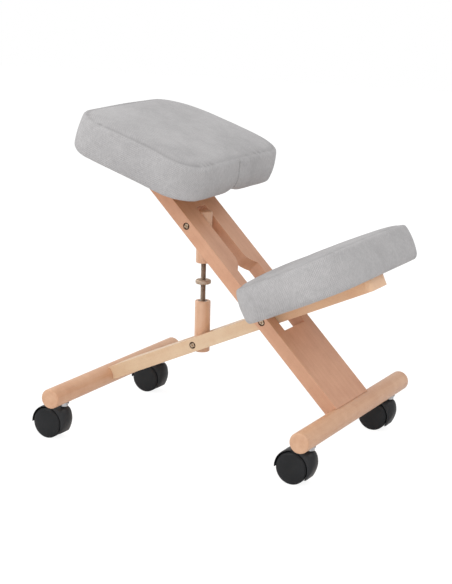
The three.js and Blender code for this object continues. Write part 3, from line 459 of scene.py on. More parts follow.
@dataclass(frozen=True)
class Plastic:
    """Satin moulded plastic with a fine spark-eroded grain."""

    name: str
    colour: Colour
    worn: Colour
    roughness: float = 0.42
    grain: float = 1500.0
    shine: float = 0.25

    def material(self) -> bpy.types.Material:
        """Makes the finish."""
        shader = Shader(self.name)
        place = shader.object_place()
        grain = shader.noise(place, self.grain, 2, 0.6)
        cloudy = shader.noise(place, 45.0, 3, 0.6)
        shader.feed("Base Color", shader.blend(cloudy.between(0.35, 0.8) * 0.6, self.colour, self.worn))
        shader.feed("Roughness", self.roughness + (grain - 0.5) * 0.16 + (cloudy - 0.5) * 0.18)
        shader.set(specular_ior_level=self.shine)
        shader.raise_surface(grain, 0.05 * MM, 0.35)
        return shader.material


@dataclass(frozen=True)
class Metal:
    """Plated steel, turned or drawn, with faint lines and a cloudy plating. A rim colour, where given, is painted
    shade on a head's outer rim.
    """

    name: str
    colour: Colour
    dull: Colour
    # A colour of painted shade towards a head's outer rim, for the shadowed gap round it.
    rim: Colour | None = None
    roughness: float = 0.3
    lines: tuple[float, float, float] = (500.0, 500.0, 5000.0)

    def material(self) -> bpy.types.Material:
        """Makes the finish."""
        shader = Shader(self.name)
        place = shader.object_place()
        lines = shader.noise(shader.mapped(place, (0, 0, 0), self.lines), 1.0, 2)
        cloudy = shader.noise(place, 240.0, 3, 0.6)
        shader.set(metallic=1.0)
        plated = shader.blend(cloudy.between(0.3, 0.75) * 0.7, self.colour, self.dull)
        # Painted shade: the colour darkens towards the head's outer rim, for the shadowed gap round the head.
        if self.rim:
            plated = shader.blend(shader.attribute("rim").between(0.55, 0.85), plated, self.rim)
        shader.feed("Base Color", plated)
        shader.feed("Roughness", self.roughness + (lines - 0.5) * 0.2 + (cloudy - 0.5) * 0.12)
        shader.raise_surface(lines, 0.02 * MM, 0.3)
        return shader.material


RED_BEECH = Wood("beech", *shades((218, 168, 136), (199, 145, 114), (160, 108, 78)))
# The pale beech's last two colours are painted warm bounce light for the beam's shaded front.
PALE_BEECH = Wood("pale_beech", *shades((228, 202, 170), (214, 178, 143), (176, 130, 100),
                                        (244, 208, 173), (230, 183, 146)))
BAR_BEECH = Wood("bar_beech", *shades((222, 181, 148), (199, 149, 116), (166, 114, 84)))
BARREL_BEECH = Wood("barrel_beech", *shades((228, 190, 160), (211, 164, 132), (172, 122, 94)))
PLYWOOD = Wood("plywood", *shades((206, 176, 132), (180, 146, 102), (150, 116, 78)), band_width=0.02,
               roughness=0.7)
# The third colour is painted shade for the cushions' creases and seam.
GREY_CLOTH = Fabric("grey_fabric", *shades((202, 200, 200), (150, 148, 149), (96, 93, 94)))
BLACK_PLASTIC = Plastic("black_plastic", *shades((28, 29, 31), (38, 39, 41)))
HOOD_PLASTIC = Plastic("hood_plastic", *shades((40, 41, 43), (52, 53, 55)))
DARK_NYLON = Plastic("dark_nylon", *shades((70, 66, 64), (84, 80, 77)), roughness=0.55)
BRIGHT_STEEL = Metal("bright_steel", *shades((196, 196, 198), (160, 160, 163)))
BRONZED_STEEL = Metal("bronzed_steel", *shades((160, 142, 127), (124, 105, 91)), roughness=0.42)
DISC_STEEL = Metal("disc_steel", *shades((206, 188, 170), (176, 158, 140)), roughness=0.64)
# The bronzed cap's third colour is painted shade on the head's outer rim, for the shadowed gap round it.
BRONZED_CAP = Metal("bronzed_cap", *shades((214, 192, 168), (164, 142, 120), (84, 64, 50)), roughness=0.34)


def is_sharp(edge: bmesh.types.BMEdge) -> bool:
    """Whether an edge stays crisp between two faces."""
    return len(edge.link_faces) == 2 and edge.calc_face_angle() > SMOOTH_ANGLE


def linked(name: str, data: bpy.types.ID | None) -> bpy.types.Object:
    """A new object of some data, in the scene."""
    made = bpy.data.objects.new(name, data)
    bpy.context.scene.collection.objects.link(made)
    return made


def meshed(form: bmesh.types.BMesh, name: str = "scratch") -> bpy.types.Mesh:
    """A new mesh of a bmesh, which is freed."""
    mesh = bpy.data.meshes.new(name)
    form.to_mesh(mesh)
    form.free()
    return mesh


def join(form: bmesh.types.BMesh, part: bmesh.types.BMesh) -> None:
    """Adds a part to a shape, and frees the part."""
    mesh = meshed(part)
    form.from_mesh(mesh)
    bpy.data.meshes.remove(mesh)


def falloff(distance: np.ndarray, width: float) -> np.ndarray:
    """1 at a distance of 0, falling smoothly to about 0 at twice the width."""
    return np.exp(-(distance / width) ** 2)


def turned(profile: Sequence[Place], steps: int) -> bmesh.types.BMesh:
    """Spins a profile about Z.

    Args:
        profile: Radius and height of each point, from one end to the other.
        steps: Steps in a full turn.

    Returns:
        The closed shape.
    """
    form = bmesh.new()
    verts = [form.verts.new((radius, 0, height)) for radius, height in profile]
    edges = [form.edges.new(pair) for pair in zip(verts, verts[1:])]
    bmesh.ops.spin(form, geom=verts + edges, cent=(0, 0, 0), axis=(0, 0, 1), angle=2 * math.pi,
                   steps=steps, use_merge=True)
    bmesh.ops.remove_doubles(form, verts=form.verts, dist=MERGE_DISTANCE)
    bmesh.ops.recalc_face_normals(form, faces=form.faces)
    return form


def quarter(steps: int) -> list[float]:
    """Angles from 0 to a right angle, in even steps."""
    return [math.pi / 2 * i / steps for i in range(steps + 1)]


def rounded(corner: Place, start: float, end: float, radius: float, steps: int = 6) -> list[Place]:
    """Points of an arc.

    Args:
        corner: The arc's centre.
        start: The angle it starts at, in degrees.
        end: The angle it ends at, in degrees.
        radius: Its radius.
        steps: How many steps it has.

    Returns:
        The points, both ends included.
    """
    angles = [math.radians(start + (end - start) * i / steps) for i in range(steps + 1)]
    return [(corner[0] + radius * math.cos(a), corner[1] + radius * math.sin(a)) for a in angles]


@dataclass
class Workshop:
    """Turns bmesh work into finished pieces."""

    layout: Layout
    materials: dict[str, bpy.types.Material] = field(default_factory=dict)

    def wood(self, finish: Wood, grain: Grain) -> bpy.types.Material:
        """The given wood with its grain the given way, made once.

        Args:
            finish: The wood.
            grain: Which way its grain runs.

        Returns:
            The material.
        """
        key = f"{finish.name}_{grain.value}"
        if key not in self.materials:
            made = finish.material(self.layout.grain_turn(grain))
            made.name = key
            self.materials[key] = made
        return self.materials[key]

    def finish(self, finish: "Fabric | Plastic | Metal") -> bpy.types.Material:
        """The given finish, made once."""
        if finish.name not in self.materials:
            self.materials[finish.name] = finish.material()
        return self.materials[finish.name]

    def piece(self, form: bmesh.types.BMesh, name: str, material: bpy.types.Material,
              node: str) -> bpy.types.Object:
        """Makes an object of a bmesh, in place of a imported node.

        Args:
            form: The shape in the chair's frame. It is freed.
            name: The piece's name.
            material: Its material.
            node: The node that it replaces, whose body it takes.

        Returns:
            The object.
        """
        mesh = meshed(form, name)
        mesh.materials.append(material)
        made = linked(name, mesh)
        body = self.body_of(node)
        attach(made, body)
        self.slot_of(node)
        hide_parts(node)
        log.info("%s rides on %s, %d faces", name, body, len(mesh.polygons))
        return made

    def body_of(self, node: str) -> str:
        """The body that a node is in."""
        bodies = frame["record"]["behaviour"]["bodies"]
        return next(body for body, nodes in bodies.items() if node in nodes)

    def slot_of(self, node: str) -> str:
        """The material slot that a node has."""
        return next(s["material_slot"] for s in frame["record"]["subparts"] if s["node"] == node)

    def eased_copy(self, node: str, name: str, material: bpy.types.Material, easing: float,
                   chosen: EdgeTest | None = None, shortest: float = 0.0) -> bpy.types.Object:
        """Copies a node with its sharp edges eased, and stands the copy in for it.

        Args:
            node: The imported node.
            name: The piece's name.
            material: Its material.
            easing: How far the edges are cut back.
            chosen: Tells from an edge's middle whether it is eased.
            shortest: Shorter edges stay sharp.

        Returns:
            The object.
        """
        form = bmesh.new()
        form.from_mesh(frame["nodes"][node].data)
        bmesh.ops.remove_doubles(form, verts=form.verts, dist=MERGE_DISTANCE)
        bmesh.ops.dissolve_limit(form, angle_limit=FLAT_ANGLE, verts=form.verts, edges=form.edges)
        edges = [
            edge for edge in form.edges
            if is_sharp(edge) and edge.calc_length() >= shortest
            and (chosen is None or chosen((edge.verts[0].co + edge.verts[1].co) / 2))
        ]
        if easing > 0 and edges:
            bmesh.ops.bevel(form, geom=edges, offset=easing, offset_type="OFFSET", segments=3, profile=0.5,
                            affect="EDGES", clamp_overlap=True, material=-1)
        self.smooth(form)
        return self.piece(form, name, material, node)

    def smooth(self, form: bmesh.types.BMesh, widest: float = 14 * MM) -> None:
        """Shades narrow faces smooth and keeps sharp edges and wide flats crisp.

        Args:
            form: The shape.
            widest: A flat face whose shortest edge is longer than this stays flat.
        """
        for face in form.faces:
            narrow = min(edge.calc_length() for edge in face.edges) < widest
            face.smooth = narrow and len(face.verts) < END_FACE_CORNERS
        for edge in form.edges:
            if is_sharp(edge):
                edge.smooth = False

    def dress(self, node: str, material: bpy.types.Material) -> None:
        """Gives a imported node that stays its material."""
        mesh = frame["nodes"][node].data
        mesh.materials.clear()
        mesh.materials.append(material)


@dataclass
class Cushion:
    """A padded cushion over a plywood plate, made in its own frame and then put in place.

    In that frame +X is forward, +Z is up and the underside of the plate is z = 0. The outline is a
    trapezoid with rounded corners, and the wall stands on it from the hem to the shoulder.

    Attributes:
        node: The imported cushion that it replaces.
        plate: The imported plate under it.
        turn: How the cushion is tilted.
        corner: The radius of the outline's corners.
        crown: How far the middle of the top swells up.
        bow: How far the top's edges stand up between the corners.
        droop: How far its corners drop.
        rear_rise: How far its rear end stands up.
        front_rise: How far its front end stands up.
        hem: Where the lower edge is.
        front_hem: How far the lower edge rises at the front.
        gate: Half the width of the way in for the beam, or 0 for none.
        seam: Whether the front wall has an upright seam.
        edge: How round the upper edge is.
        tuck: How far the lower edge is drawn in.
        rear_level: How little of the bow and droop the rear end has.
        bulge: How far the walls swell out.
        front_bulge: How much more the front wall does.
        squareness: How near the droop keeps to the corners.
        skirt: How wide the rim round the recess underneath is.
        slack: How much smaller the block starts, because the cloth swells it.
        reach: How far the swelling may go.
    """

    node: str
    plate: str
    turn: Matrix
    length: float
    rear_width: float
    front_width: float
    corner: float
    wall: float
    crown: float
    bow: float
    droop: float
    rear_rise: float
    front_rise: float
    hem: float
    front_hem: float
    gate: float
    seam: bool
    edge: float
    tuck: float
    rear_level: float
    bulge: float
    front_bulge: float
    squareness: float
    plate_thickness: float = 12 * MM
    skirt: float = 12 * MM
    recess: float = 0.6 * MM
    recess_slope: float = 5 * MM
    gate_slope: float = 4 * MM
    underside: float = 3 * MM
    tuck_height: float = 9 * MM
    slack: float = 0.8 * MM
    voxel: float = 3.8 * MM
    side_pull: float = 1 * MM
    dome_power: float = 3.2
    edge_power: float = 6
    swelling_frames: int = 20
    held_below: float = 2 * MM
    reach: float = 1.6 * MM
    ripple: float = 0.55 * MM
    ripple_pitch: float = 27 * MM
    ripple_height: float = 0.95
    ripple_spread: float = 0.07
    trough: float = 1.0 * MM
    trough_inset: float = 11 * MM
    trough_width: float = 5 * MM
    trough_shade: float = 0.22
    crease_inset: float = 9 * MM
    crease_width: float = 2.4 * MM
    crease_shade: float = 0.24
    dent: float = 0.7 * MM
    pull: float = 0.5 * MM
    seam_side: float = -8 * MM
    seam_draw: float = 6 * MM
    seam_width: float = 0.9 * MM
    seam_depth: float = 2.2 * MM
    valley_width: float = 15 * MM
    valley_depth: float = 2.6 * MM
    pinch_width: float = 20 * MM
    pinch_lift: float = 5 * MM

    def place(self) -> Matrix:
        """Takes the cushion's own frame to the chair's.

        Returns:
            The transform.
        """
        low, high = (Vector(corner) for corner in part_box(self.plate))
        middle = (low + high) / 2
        lift = self.turn @ Vector((0, 0, self.plate_thickness / 2))
        return Matrix.Translation(middle - lift) @ self.turn

    def block(self) -> bmesh.types.BMesh:
        """The plain padded block, a little smaller than the finished cushion.

        Returns:
            The closed shape.
        """
        slack = self.slack
        rear, front = -self.length / 2 + slack, self.length / 2 - slack
        half_rear, half_front = self.rear_width / 2 - slack, self.front_width / 2 - slack
        form = bmesh.new()
        corners = [(rear, -half_rear), (front, -half_front), (front, half_front), (rear, half_rear)]
        form.faces.new([form.verts.new((x, y, self.hem)) for x, y in corners])
        bmesh.ops.bevel(form, geom=form.verts[:], offset=self.corner, offset_type="OFFSET", segments=12,
                        profile=0.5, affect="VERTICES", clamp_overlap=False, material=-1)
        bottom = form.faces[:]
        grown = bmesh.ops.extrude_face_region(form, geom=bottom, use_keep_orig=True)
        top = [item for item in grown["geom"] if isinstance(item, bmesh.types.BMFace)]
        shoulder = self.wall - self.edge - slack
        bmesh.ops.translate(form, verts=top[0].verts, vec=(0, 0, shoulder))
        bend = [(math.sin(a), 1 - math.cos(a)) for a in quarter(5)]
        for (rise, draw), (next_rise, next_draw) in zip(bend, bend[1:]):
            bmesh.ops.inset_region(form, faces=top, thickness=(next_draw - draw) * self.edge,
                                   depth=0, use_even_offset=True, use_boundary=True)
            bmesh.ops.translate(form, verts=top[0].verts, vec=(0, 0, (next_rise - rise) * self.edge))
        bmesh.ops.recalc_face_normals(form, faces=form.faces)
        return form

    def evaluated(self, source: bpy.types.Object) -> bpy.types.Mesh:
        """The mesh of an object with its modifiers."""
        graph = bpy.context.evaluated_depsgraph_get()
        return bpy.data.meshes.new_from_object(source.evaluated_get(graph))

    def remeshed(self) -> bpy.types.Mesh:
        """The block in even small faces.

        Returns:
            The mesh.
        """
        made = linked("scratch", meshed(self.block()))
        remesh = made.modifiers.new("even", "REMESH")
        remesh.mode = "VOXEL"
        remesh.voxel_size = self.voxel
        even = self.evaluated(made)
        bpy.data.objects.remove(made)
        return even

    @staticmethod
    def read(items: bpy.types.bpy_prop_collection, name: str, width: int, kind: type = float) -> np.ndarray:
        """One property of a mesh's vertices, edges, corners or faces.

        Args:
            items: The collection.
            name: The property.
            width: How many numbers each item has.
            kind: What they are.

        Returns:
            A row for each item, or a flat array where each has one number.
        """
        flat = np.empty(len(items) * width, dtype=kind)
        items.foreach_get(name, flat)
        return flat.reshape(-1, width) if width > 1 else flat

    @classmethod
    def points(cls, mesh: bpy.types.Mesh) -> np.ndarray:
        """The vertices' places."""
        return cls.read(mesh.vertices, "co", 3)

    @classmethod
    def normals(cls, mesh: bpy.types.Mesh) -> np.ndarray:
        """The vertices' normals."""
        return cls.read(mesh.vertices, "normal", 3)

    @staticmethod
    def move(mesh: bpy.types.Mesh, places: np.ndarray) -> None:
        """Puts the vertices at new places."""
        mesh.vertices.foreach_set("co", places.ravel())
        mesh.update()

    def half_width(self, x: np.ndarray) -> np.ndarray:
        """Half the cushion's width at a place along it."""
        share = np.clip(x / self.length + 0.5, 0, 1)
        return (self.rear_width + (self.front_width - self.rear_width) * share) / 2

    def shaped(self, places: np.ndarray, normals: np.ndarray) -> np.ndarray:
        """Gives the crown, the low corners, the swelling walls and the recessed underside.

        Args:
            places: The block's vertices.
            normals: Their normals.

        Returns:
            The moved vertices.
        """
        out = places.copy()
        half = self.half_width(places[:, 0])
        across = np.clip(places[:, 1] / half, -1, 1)
        along = np.clip(places[:, 0] / (self.length / 2), -1, 1)
        height = np.clip((places[:, 2] - self.hem) / self.wall, 0, 1)
        dome = (1 - np.abs(across) ** self.dome_power) * (1 - np.abs(along) ** self.dome_power)
        corner = (np.abs(across) * np.abs(along)) ** self.squareness
        rise = np.where(along > 0, self.front_rise, self.rear_rise) * along ** 2
        curve = 1 - self.rear_level * np.clip(-along, 0, 1) ** 2
        edge = (self.bow * (1 - corner) - self.droop * corner) * curve + rise
        out[:, 2] += self.crown * dome * height ** 3 + edge * height
        out[:, 2] += self.front_hem * np.clip(along * 1.4, 0, 1) ** 2 * (1 - height)
        swell = np.sin(np.pi * height)
        out[:, :2] += normals[:, :2] * (self.bulge * swell * (0.6 + 0.4 * across ** 2))[:, None]
        side, end = (np.sign(share) * np.abs(share) ** self.edge_power for share in (across, along))
        out[:, 1] -= side * (1 - along ** 2) * self.side_pull
        front = np.where(along > 0, self.front_bulge, 0)
        out[:, 0] += end * (1 - across ** 2) * (front * swell - self.side_pull)
        tuck = np.clip(1 - height * self.wall / self.tuck_height, 0, 1) ** 2 * self.tuck
        out[:, 1] -= side * tuck
        out[:, 0] -= end * tuck
        out[:, 2] += np.maximum(self.recess - out[:, 2], 0) * self.recessed(places, height)
        return out

    def recessed(self, places: np.ndarray, height: np.ndarray) -> np.ndarray:
        """How far each place is in the recess under the cushion, which holds the plate.

        Args:
            places: The block's vertices.
            height: Their share of the wall's height.

        Returns:
            1 inside the recess or the gate that the beam goes through, 0 outside.
        """
        _, _, inset = self.way_round(places)
        share = np.clip((inset - self.skirt + self.recess_slope) / self.recess_slope, 0, 1)
        if self.gate > 0:
            gate = np.clip((self.gate + self.recess_slope - np.abs(places[:, 1])) / self.gate_slope, 0, 1)
            share = np.maximum(share, np.where(places[:, 0] < 0, gate, 0))
        return np.where(height * self.wall < self.underside, share, 0)

    def inflate(self, mesh: bpy.types.Mesh) -> None:
        """Swells the padding as cloth under pressure, held at its underside.

        Args:
            mesh: The shaped mesh, which is changed.
        """
        start = self.points(mesh)
        made = linked("scratch", mesh)
        held = made.vertex_groups.new(name="held")
        low = np.flatnonzero(start[:, 2] < self.held_below)
        held.add([int(i) for i in low], 1.0, "REPLACE")
        cloth = made.modifiers.new("cloth", "CLOTH")
        cover = {"quality": 5, "mass": 0.3, "tension_stiffness": 40, "compression_stiffness": 40,
                 "shear_stiffness": 20, "bending_stiffness": 4, "use_pressure": True,
                 "uniform_pressure_force": 4, "vertex_group_mass": "held"}
        for name, value in cover.items():
            setattr(cloth.settings, name, value)
        cloth.settings.effector_weights.gravity = 0
        cloth.point_cache.frame_start = 1
        cloth.point_cache.frame_end = self.swelling_frames
        scene = bpy.context.scene
        for step in range(1, self.swelling_frames + 1):
            scene.frame_set(step)
        swollen = self.evaluated(made)
        moved = self.points(swollen) - start
        scene.frame_set(1)
        bpy.data.objects.remove(made)
        far = np.linalg.norm(moved, axis=1, keepdims=True)
        capped = moved * np.minimum(1, self.reach / np.maximum(far, 1e-9))
        self.move(mesh, start + self.calmed(mesh, capped))

    @staticmethod
    def calmed(mesh: bpy.types.Mesh, moves: np.ndarray, passes: int = 12) -> np.ndarray:
        """Evens out moves between neighbouring vertices.

        Args:
            mesh: The mesh whose edges join the neighbours.
            moves: How far each vertex moves.
            passes: How often each takes half of its neighbours' mean.

        Returns:
            The evened moves.
        """
        ends = Cushion.read(mesh.edges, "vertices", 2, np.int64)
        first, second = ends.T
        count = np.bincount(ends.ravel(), minlength=len(moves))[:, None]
        for _ in range(passes):
            total = np.zeros_like(moves)
            np.add.at(total, first, moves[second])
            np.add.at(total, second, moves[first])
            moves = moves * 0.5 + total / count * 0.5
        return moves

    def refined(self, mesh: bpy.types.Mesh) -> bpy.types.Mesh:
        """The mesh with each face split in four and smoothed.

        Args:
            mesh: The swollen mesh.

        Returns:
            The finer mesh.
        """
        made = linked("scratch", mesh)
        finer = made.modifiers.new("finer", "SUBSURF")
        finer.levels = finer.render_levels = 1
        fine = self.evaluated(made)
        bpy.data.objects.remove(made)
        return fine

    def rim(self) -> tuple[np.ndarray, np.ndarray]:
        """The cushion's outline in plan.

        Returns:
            Its points, and the way round to each, with the whole way round as the last.
        """
        form = self.block()
        low = [v.co.copy() for v in form.verts if v.co.z < self.hem + 0.1 * MM]
        form.free()
        low.sort(key=lambda place: math.atan2(place.y, -place.x))
        ring = np.array([(p.x, p.y) for p in low])
        steps = np.linalg.norm(np.diff(ring, axis=0, append=ring[:1]), axis=1)
        return ring, np.concatenate([[0], np.cumsum(steps)])

    def way_round(self, places: np.ndarray) -> tuple[np.ndarray, float, np.ndarray]:
        """How far round the outline each place is, from the middle of the rear.

        Args:
            places: Places on the cushion.

        Returns:
            The way round to each, the whole way round, and how far each is from the outline.
        """
        ring, ways = self.rim()
        follow = np.roll(ring, -1, axis=0)
        best = np.full(len(places), np.inf)
        found = np.zeros(len(places))
        for start, end, way in zip(ring, follow, ways):
            step = end - start
            length = max(float(np.hypot(*step)), 1e-9)
            share = np.clip(((places[:, :2] - start) @ step) / length ** 2, 0, 1)
            near = np.linalg.norm(places[:, :2] - (start + share[:, None] * step), axis=1)
            closer = near < best
            best[closer] = near[closer]
            found[closer] = way + share[closer] * length
        return found, float(ways[-1]), best

    def detailed(self, mesh: bpy.types.Mesh) -> None:
        """Adds the folded edge's ripples, the soft dents and the front seam, and marks where shade is painted in
        the creases and along the seam.

        Args:
            mesh: The fine mesh, which is changed and gets an attribute for the painted shade in its creases and
                seam.
        """
        places, normals = self.points(mesh), self.normals(mesh)
        way, around, inset = self.way_round(places)
        height = (places[:, 2] - self.hem) / self.wall
        level = np.clip(normals[:, 2], 0, 1)
        upright = np.clip(1 - normals[:, 2] ** 2, 0, 1)
        phase = 2 * math.pi * way / around
        turns = np.round(around / self.ripple_pitch)
        patches = np.clip(np.sin(phase * 5 + 1.0) + 0.6 * np.sin(phase * 8 + 2.0), 0, 1)
        ripples = np.sin(phase * turns + 3.1 * np.sin(phase * 11) + 1.7 * np.sin(phase * 19)) * patches
        fold = falloff(height - self.ripple_height, self.ripple_spread)
        fold *= np.clip(1 - normals[:, 2] ** 6, 0, 1)
        trough = falloff(inset - self.trough_inset, self.trough_width) * level ** 2
        push = ripples * (fold + 0.5 * trough) * self.ripple - trough * self.trough
        x, y = places[:, 0], places[:, 1]
        push += np.sin(x * 31 + 1.2 * np.sin(y * 23)) * np.sin(y * 27 + 0.8) * self.dent * level ** 2
        pulled = np.sin(phase * 17 + 2.4 * height) * np.sin(phase * 7) * self.pull
        push += pulled * upright * np.clip(1.2 - height, 0, 1)
        # Painted shade: a dark line along the top's crease, and a darker trough inside the folded edge, less where
        # the ripples stand out.
        line = falloff(inset - self.crease_inset, self.crease_width) * level
        crease = self.trough_shade * (1 - ripples) * trough + self.crease_shade * line * (1 - 0.5 * ripples)
        # The seam's line is painted shade as well, and the seam draws the cloth in.
        if self.seam:
            seam_shade, drawn_in = self.stitch(places, height, upright)
            push -= drawn_in
            crease = np.maximum(crease, seam_shade)
        self.move(mesh, places + normals * push[:, None])
        # Stores the painted shade for the cloth's material.
        mesh.attributes.new("crease", "FLOAT", "POINT").data.foreach_set("value", crease)

    def stitch(self, places: np.ndarray, height: np.ndarray,
               upright: np.ndarray) -> tuple[np.ndarray, np.ndarray]:
        """Draws the vertices near the front seam towards it, and lifts the hem there.

        Args:
            places: The fine mesh's vertices, which are moved.
            height: Their share of the wall's height.
            upright: How upright the surface stands at each.

        Returns:
            How near each vertex is to the seam's line, which is also painted as shade along the seam, and how far
            the seam draws it in.
        """
        front = np.clip((places[:, 0] - 0.42 * self.length) / (0.03 * self.length), 0, 1)
        low = np.clip((1.08 - height) * 5, 0, 1)
        off = (places[:, 1] - self.seam_side) / self.seam_draw
        drawn = np.where(np.abs(off) < 1, off * np.abs(off) ** 0.8, off)
        places[:, 1] += (drawn - off) * self.seam_draw * front
        off = places[:, 1] - self.seam_side
        line = falloff(off, self.seam_width) * front * low
        valley = falloff(off, self.valley_width) * front * low
        pinch = falloff(off, self.pinch_width) * front * np.clip(1 - height * 2.2, 0, 1)
        places[:, 2] += pinch * self.pinch_lift
        return line, (line * self.seam_depth + valley * self.valley_depth) * upright

    def lay_cloth(self, mesh: bpy.types.Mesh) -> None:
        """Gives the mesh a UV map in metres: flat on top, and round the walls.

        Args:
            mesh: The finished mesh.
        """
        places = self.points(mesh)
        way, around, _ = self.way_round(places)
        layer = mesh.uv_layers.new(name="cloth")
        corners = self.read(mesh.loops, "vertex_index", 1, np.int64)
        totals = self.read(mesh.polygons, "loop_total", 1, np.int64)
        level = np.repeat(np.abs(self.read(mesh.polygons, "normal", 3)[:, 2]) > 0.72, totals)
        first = np.repeat(np.cumsum(totals) - totals, totals)
        round_way = way[corners]
        start = round_way[first]
        round_way = round_way - around * np.round((round_way - start) / around)
        across = np.where(level, places[corners, 0], round_way)
        along = np.where(level, places[corners, 1], places[corners, 2])
        layer.data.foreach_set("uv", np.stack([across, along], 1).ravel())

    def build(self, shop: Workshop) -> bpy.types.Object:
        """Makes the cushion and puts it in place.

        Args:
            shop: Makes the finished piece.

        Returns:
            The cushion.
        """
        mesh = self.remeshed()
        self.move(mesh, self.shaped(self.points(mesh), self.normals(mesh)))
        form = bmesh.new()
        form.from_mesh(mesh)
        bmesh.ops.smooth_vert(form, verts=form.verts, factor=0.5, use_axis_x=True, use_axis_y=True,
                              use_axis_z=True)
        form.to_mesh(mesh)
        form.free()
        self.inflate(mesh)
        fine = self.refined(mesh)
        self.detailed(fine)
        self.lay_cloth(fine)
        form = bmesh.new()
        form.from_mesh(fine)
        form.transform(self.place())
        for face in form.faces:
            face.smooth = True
        made = shop.piece(form, self.node.replace("cushion", "pad"), shop.finish(GREY_CLOTH), self.node)
        return made


@dataclass
class Castor:
    """A twin-wheel castor in its own frame: the origin is on the floor under its stem."""

    place: str
    side: str
    wheel_radius: float = 30 * MM
    wheel_width: float = 18 * MM
    dome: float = 4 * MM
    web: float = 6 * MM
    side_gap: float = 0.6 * MM
    trail: float = 29.5 * MM
    hood_gap: float = 2.2 * MM
    hood_wall: float = 1.8 * MM
    hood_top: float = 64 * MM
    nose_reach: float = 12.8 * MM
    nose_height: float = 43 * MM
    boss_half: float = 11 * MM
    tail_angle: float = 182
    nose_angle: float = -33
    shoulder: float = 2.2 * MM
    rim: float = 2.6 * MM
    rim_step: float = 0.3 * MM
    rim_rise: float = 0.1 * MM
    hood_lip: float = 0.9 * MM
    web_share: float = 0.985
    arch_steps: int = 14
    bend_steps: int = 12
    stem_easing: float = 0.35 * MM

    @property
    def name(self) -> str:
        """What the castor's nodes start with."""
        return f"{self.place}_{self.side}_castor"

    @property
    def origin(self) -> Vector:
        """The floor under the stem."""
        joint = next(j for j in frame["joints"] if j["name"] == f"{self.place}_{self.side}_swivel")
        return Vector((joint["pos_m"][0], joint["pos_m"][1], 0))

    @property
    def inner(self) -> float:
        """From the castor's middle to a wheel's inner face."""
        return self.web / 2 + self.side_gap

    def wheel(self, shop: Workshop, label: str, side: int) -> None:
        """Makes a wheel with a smooth domed face and a plain tread.

        Args:
            shop: Makes the finished piece.
            label: right or left.
            side: -1 or 1.
        """
        radius, width, shoulder, rim = self.wheel_radius, self.wheel_width, self.shoulder, self.rim
        tread = width - self.dome
        profile: list[Place] = [(0, 0), (radius - shoulder, 0)]
        profile += rounded((radius - shoulder, shoulder), -90, 0, shoulder)
        profile += rounded((radius - rim, tread - rim), 0, 68, rim)
        face = profile[-1][0] - self.rim_step
        start = profile[-1][1] + self.rim_rise
        profile += [(face * math.cos(a), start + (width - start) * math.sin(a)) for a in quarter(16)]
        form = turned(profile, ROUND_STEPS)
        turn = Matrix.Rotation(-side * math.pi / 2, 4, "X")
        middle = Vector((-self.trail, side * self.inner, self.wheel_radius))
        form.transform(Matrix.Translation(self.origin + middle) @ turn)
        shop.smooth(form, 1)
        shop.piece(form, f"{self.name}_roller_{label}", shop.finish(BLACK_PLASTIC),
                   f"{self.name}_wheel_{label}")

    def hood_path(self) -> list[Place]:
        """The hood's outer outline about the axle, from its tail to its nose.

        Returns:
            Its points in X and Z.
        """
        outer = self.wheel_radius + self.hood_gap + self.hood_wall
        top = self.hood_top - self.wheel_radius
        boss_rear = self.trail - self.boss_half
        nose = self.trail + self.nose_reach
        bulge = self.nose_height - self.wheel_radius
        rise = math.hypot(boss_rear, top)
        tangent = math.degrees(math.atan2(top, boss_rear) + math.acos(outer / rise))
        low = math.radians(self.nose_angle)
        path = rounded((0, 0), self.tail_angle, tangent, outer, 30)
        path += [(x, top) for x in np.linspace(boss_rear, self.trail, 5).tolist()]
        bends = [((self.trail, top), (nose, top), (nose, bulge)),
                 ((nose, bulge), (nose, 0.0), (outer * math.cos(low), outer * math.sin(low)))]
        for start, control, end in bends:
            for step in range(1, self.bend_steps + 1):
                t = step / self.bend_steps
                path.append(tuple((1 - t) ** 2 * a + 2 * t * (1 - t) * b + t * t * c
                                  for a, b, c in zip(start, control, end)))
        return path

    def hood(self, shop: Workshop) -> None:
        """Makes the hood: a fender that swells into the nose, with a web between the wheels.

        Args:
            shop: Makes the finished piece.
        """
        path = self.hood_path()
        inner = self.wheel_radius + self.hood_gap
        fender = inner + self.hood_wall
        half = self.inner + self.wheel_width - self.dome
        form = bmesh.new()
        rings = []
        for x, z in path:
            reach, angle = math.hypot(x, z), math.atan2(z, x)
            arch: list[Place] = []
            for step in range(self.arch_steps + 1):
                share = math.cos(math.pi * step / self.arch_steps)
                swell = math.sqrt(max(0.0, 1 - share ** 2))
                out = fender + (reach - fender) * swell - self.hood_lip * abs(share) ** 10
                arch.append((out, half * share))
            arch += [(inner, half * share) for share in (-1, -0.5, 0, 0.5, 1)]
            rings.append([form.verts.new((out * math.cos(angle), y, out * math.sin(angle)))
                          for out, y in arch])
        for ring, follow in zip(rings, rings[1:]):
            for index in range(len(ring)):
                near = (index + 1) % len(ring)
                form.faces.new((ring[index], ring[near], follow[near], follow[index]))
        form.faces.new(rings[0])
        form.faces.new(rings[-1])
        bmesh.ops.recalc_face_normals(form, faces=form.faces)
        join(form, self.slab([(x * self.web_share, z * self.web_share) for x, z in path], self.web / 2))
        middle = Vector((-self.trail, 0, self.wheel_radius))
        form.transform(Matrix.Translation(self.origin + middle))
        shop.smooth(form, 5 * MM)
        shop.piece(form, f"{self.name}_fender", shop.finish(HOOD_PLASTIC), f"{self.name}_hood")

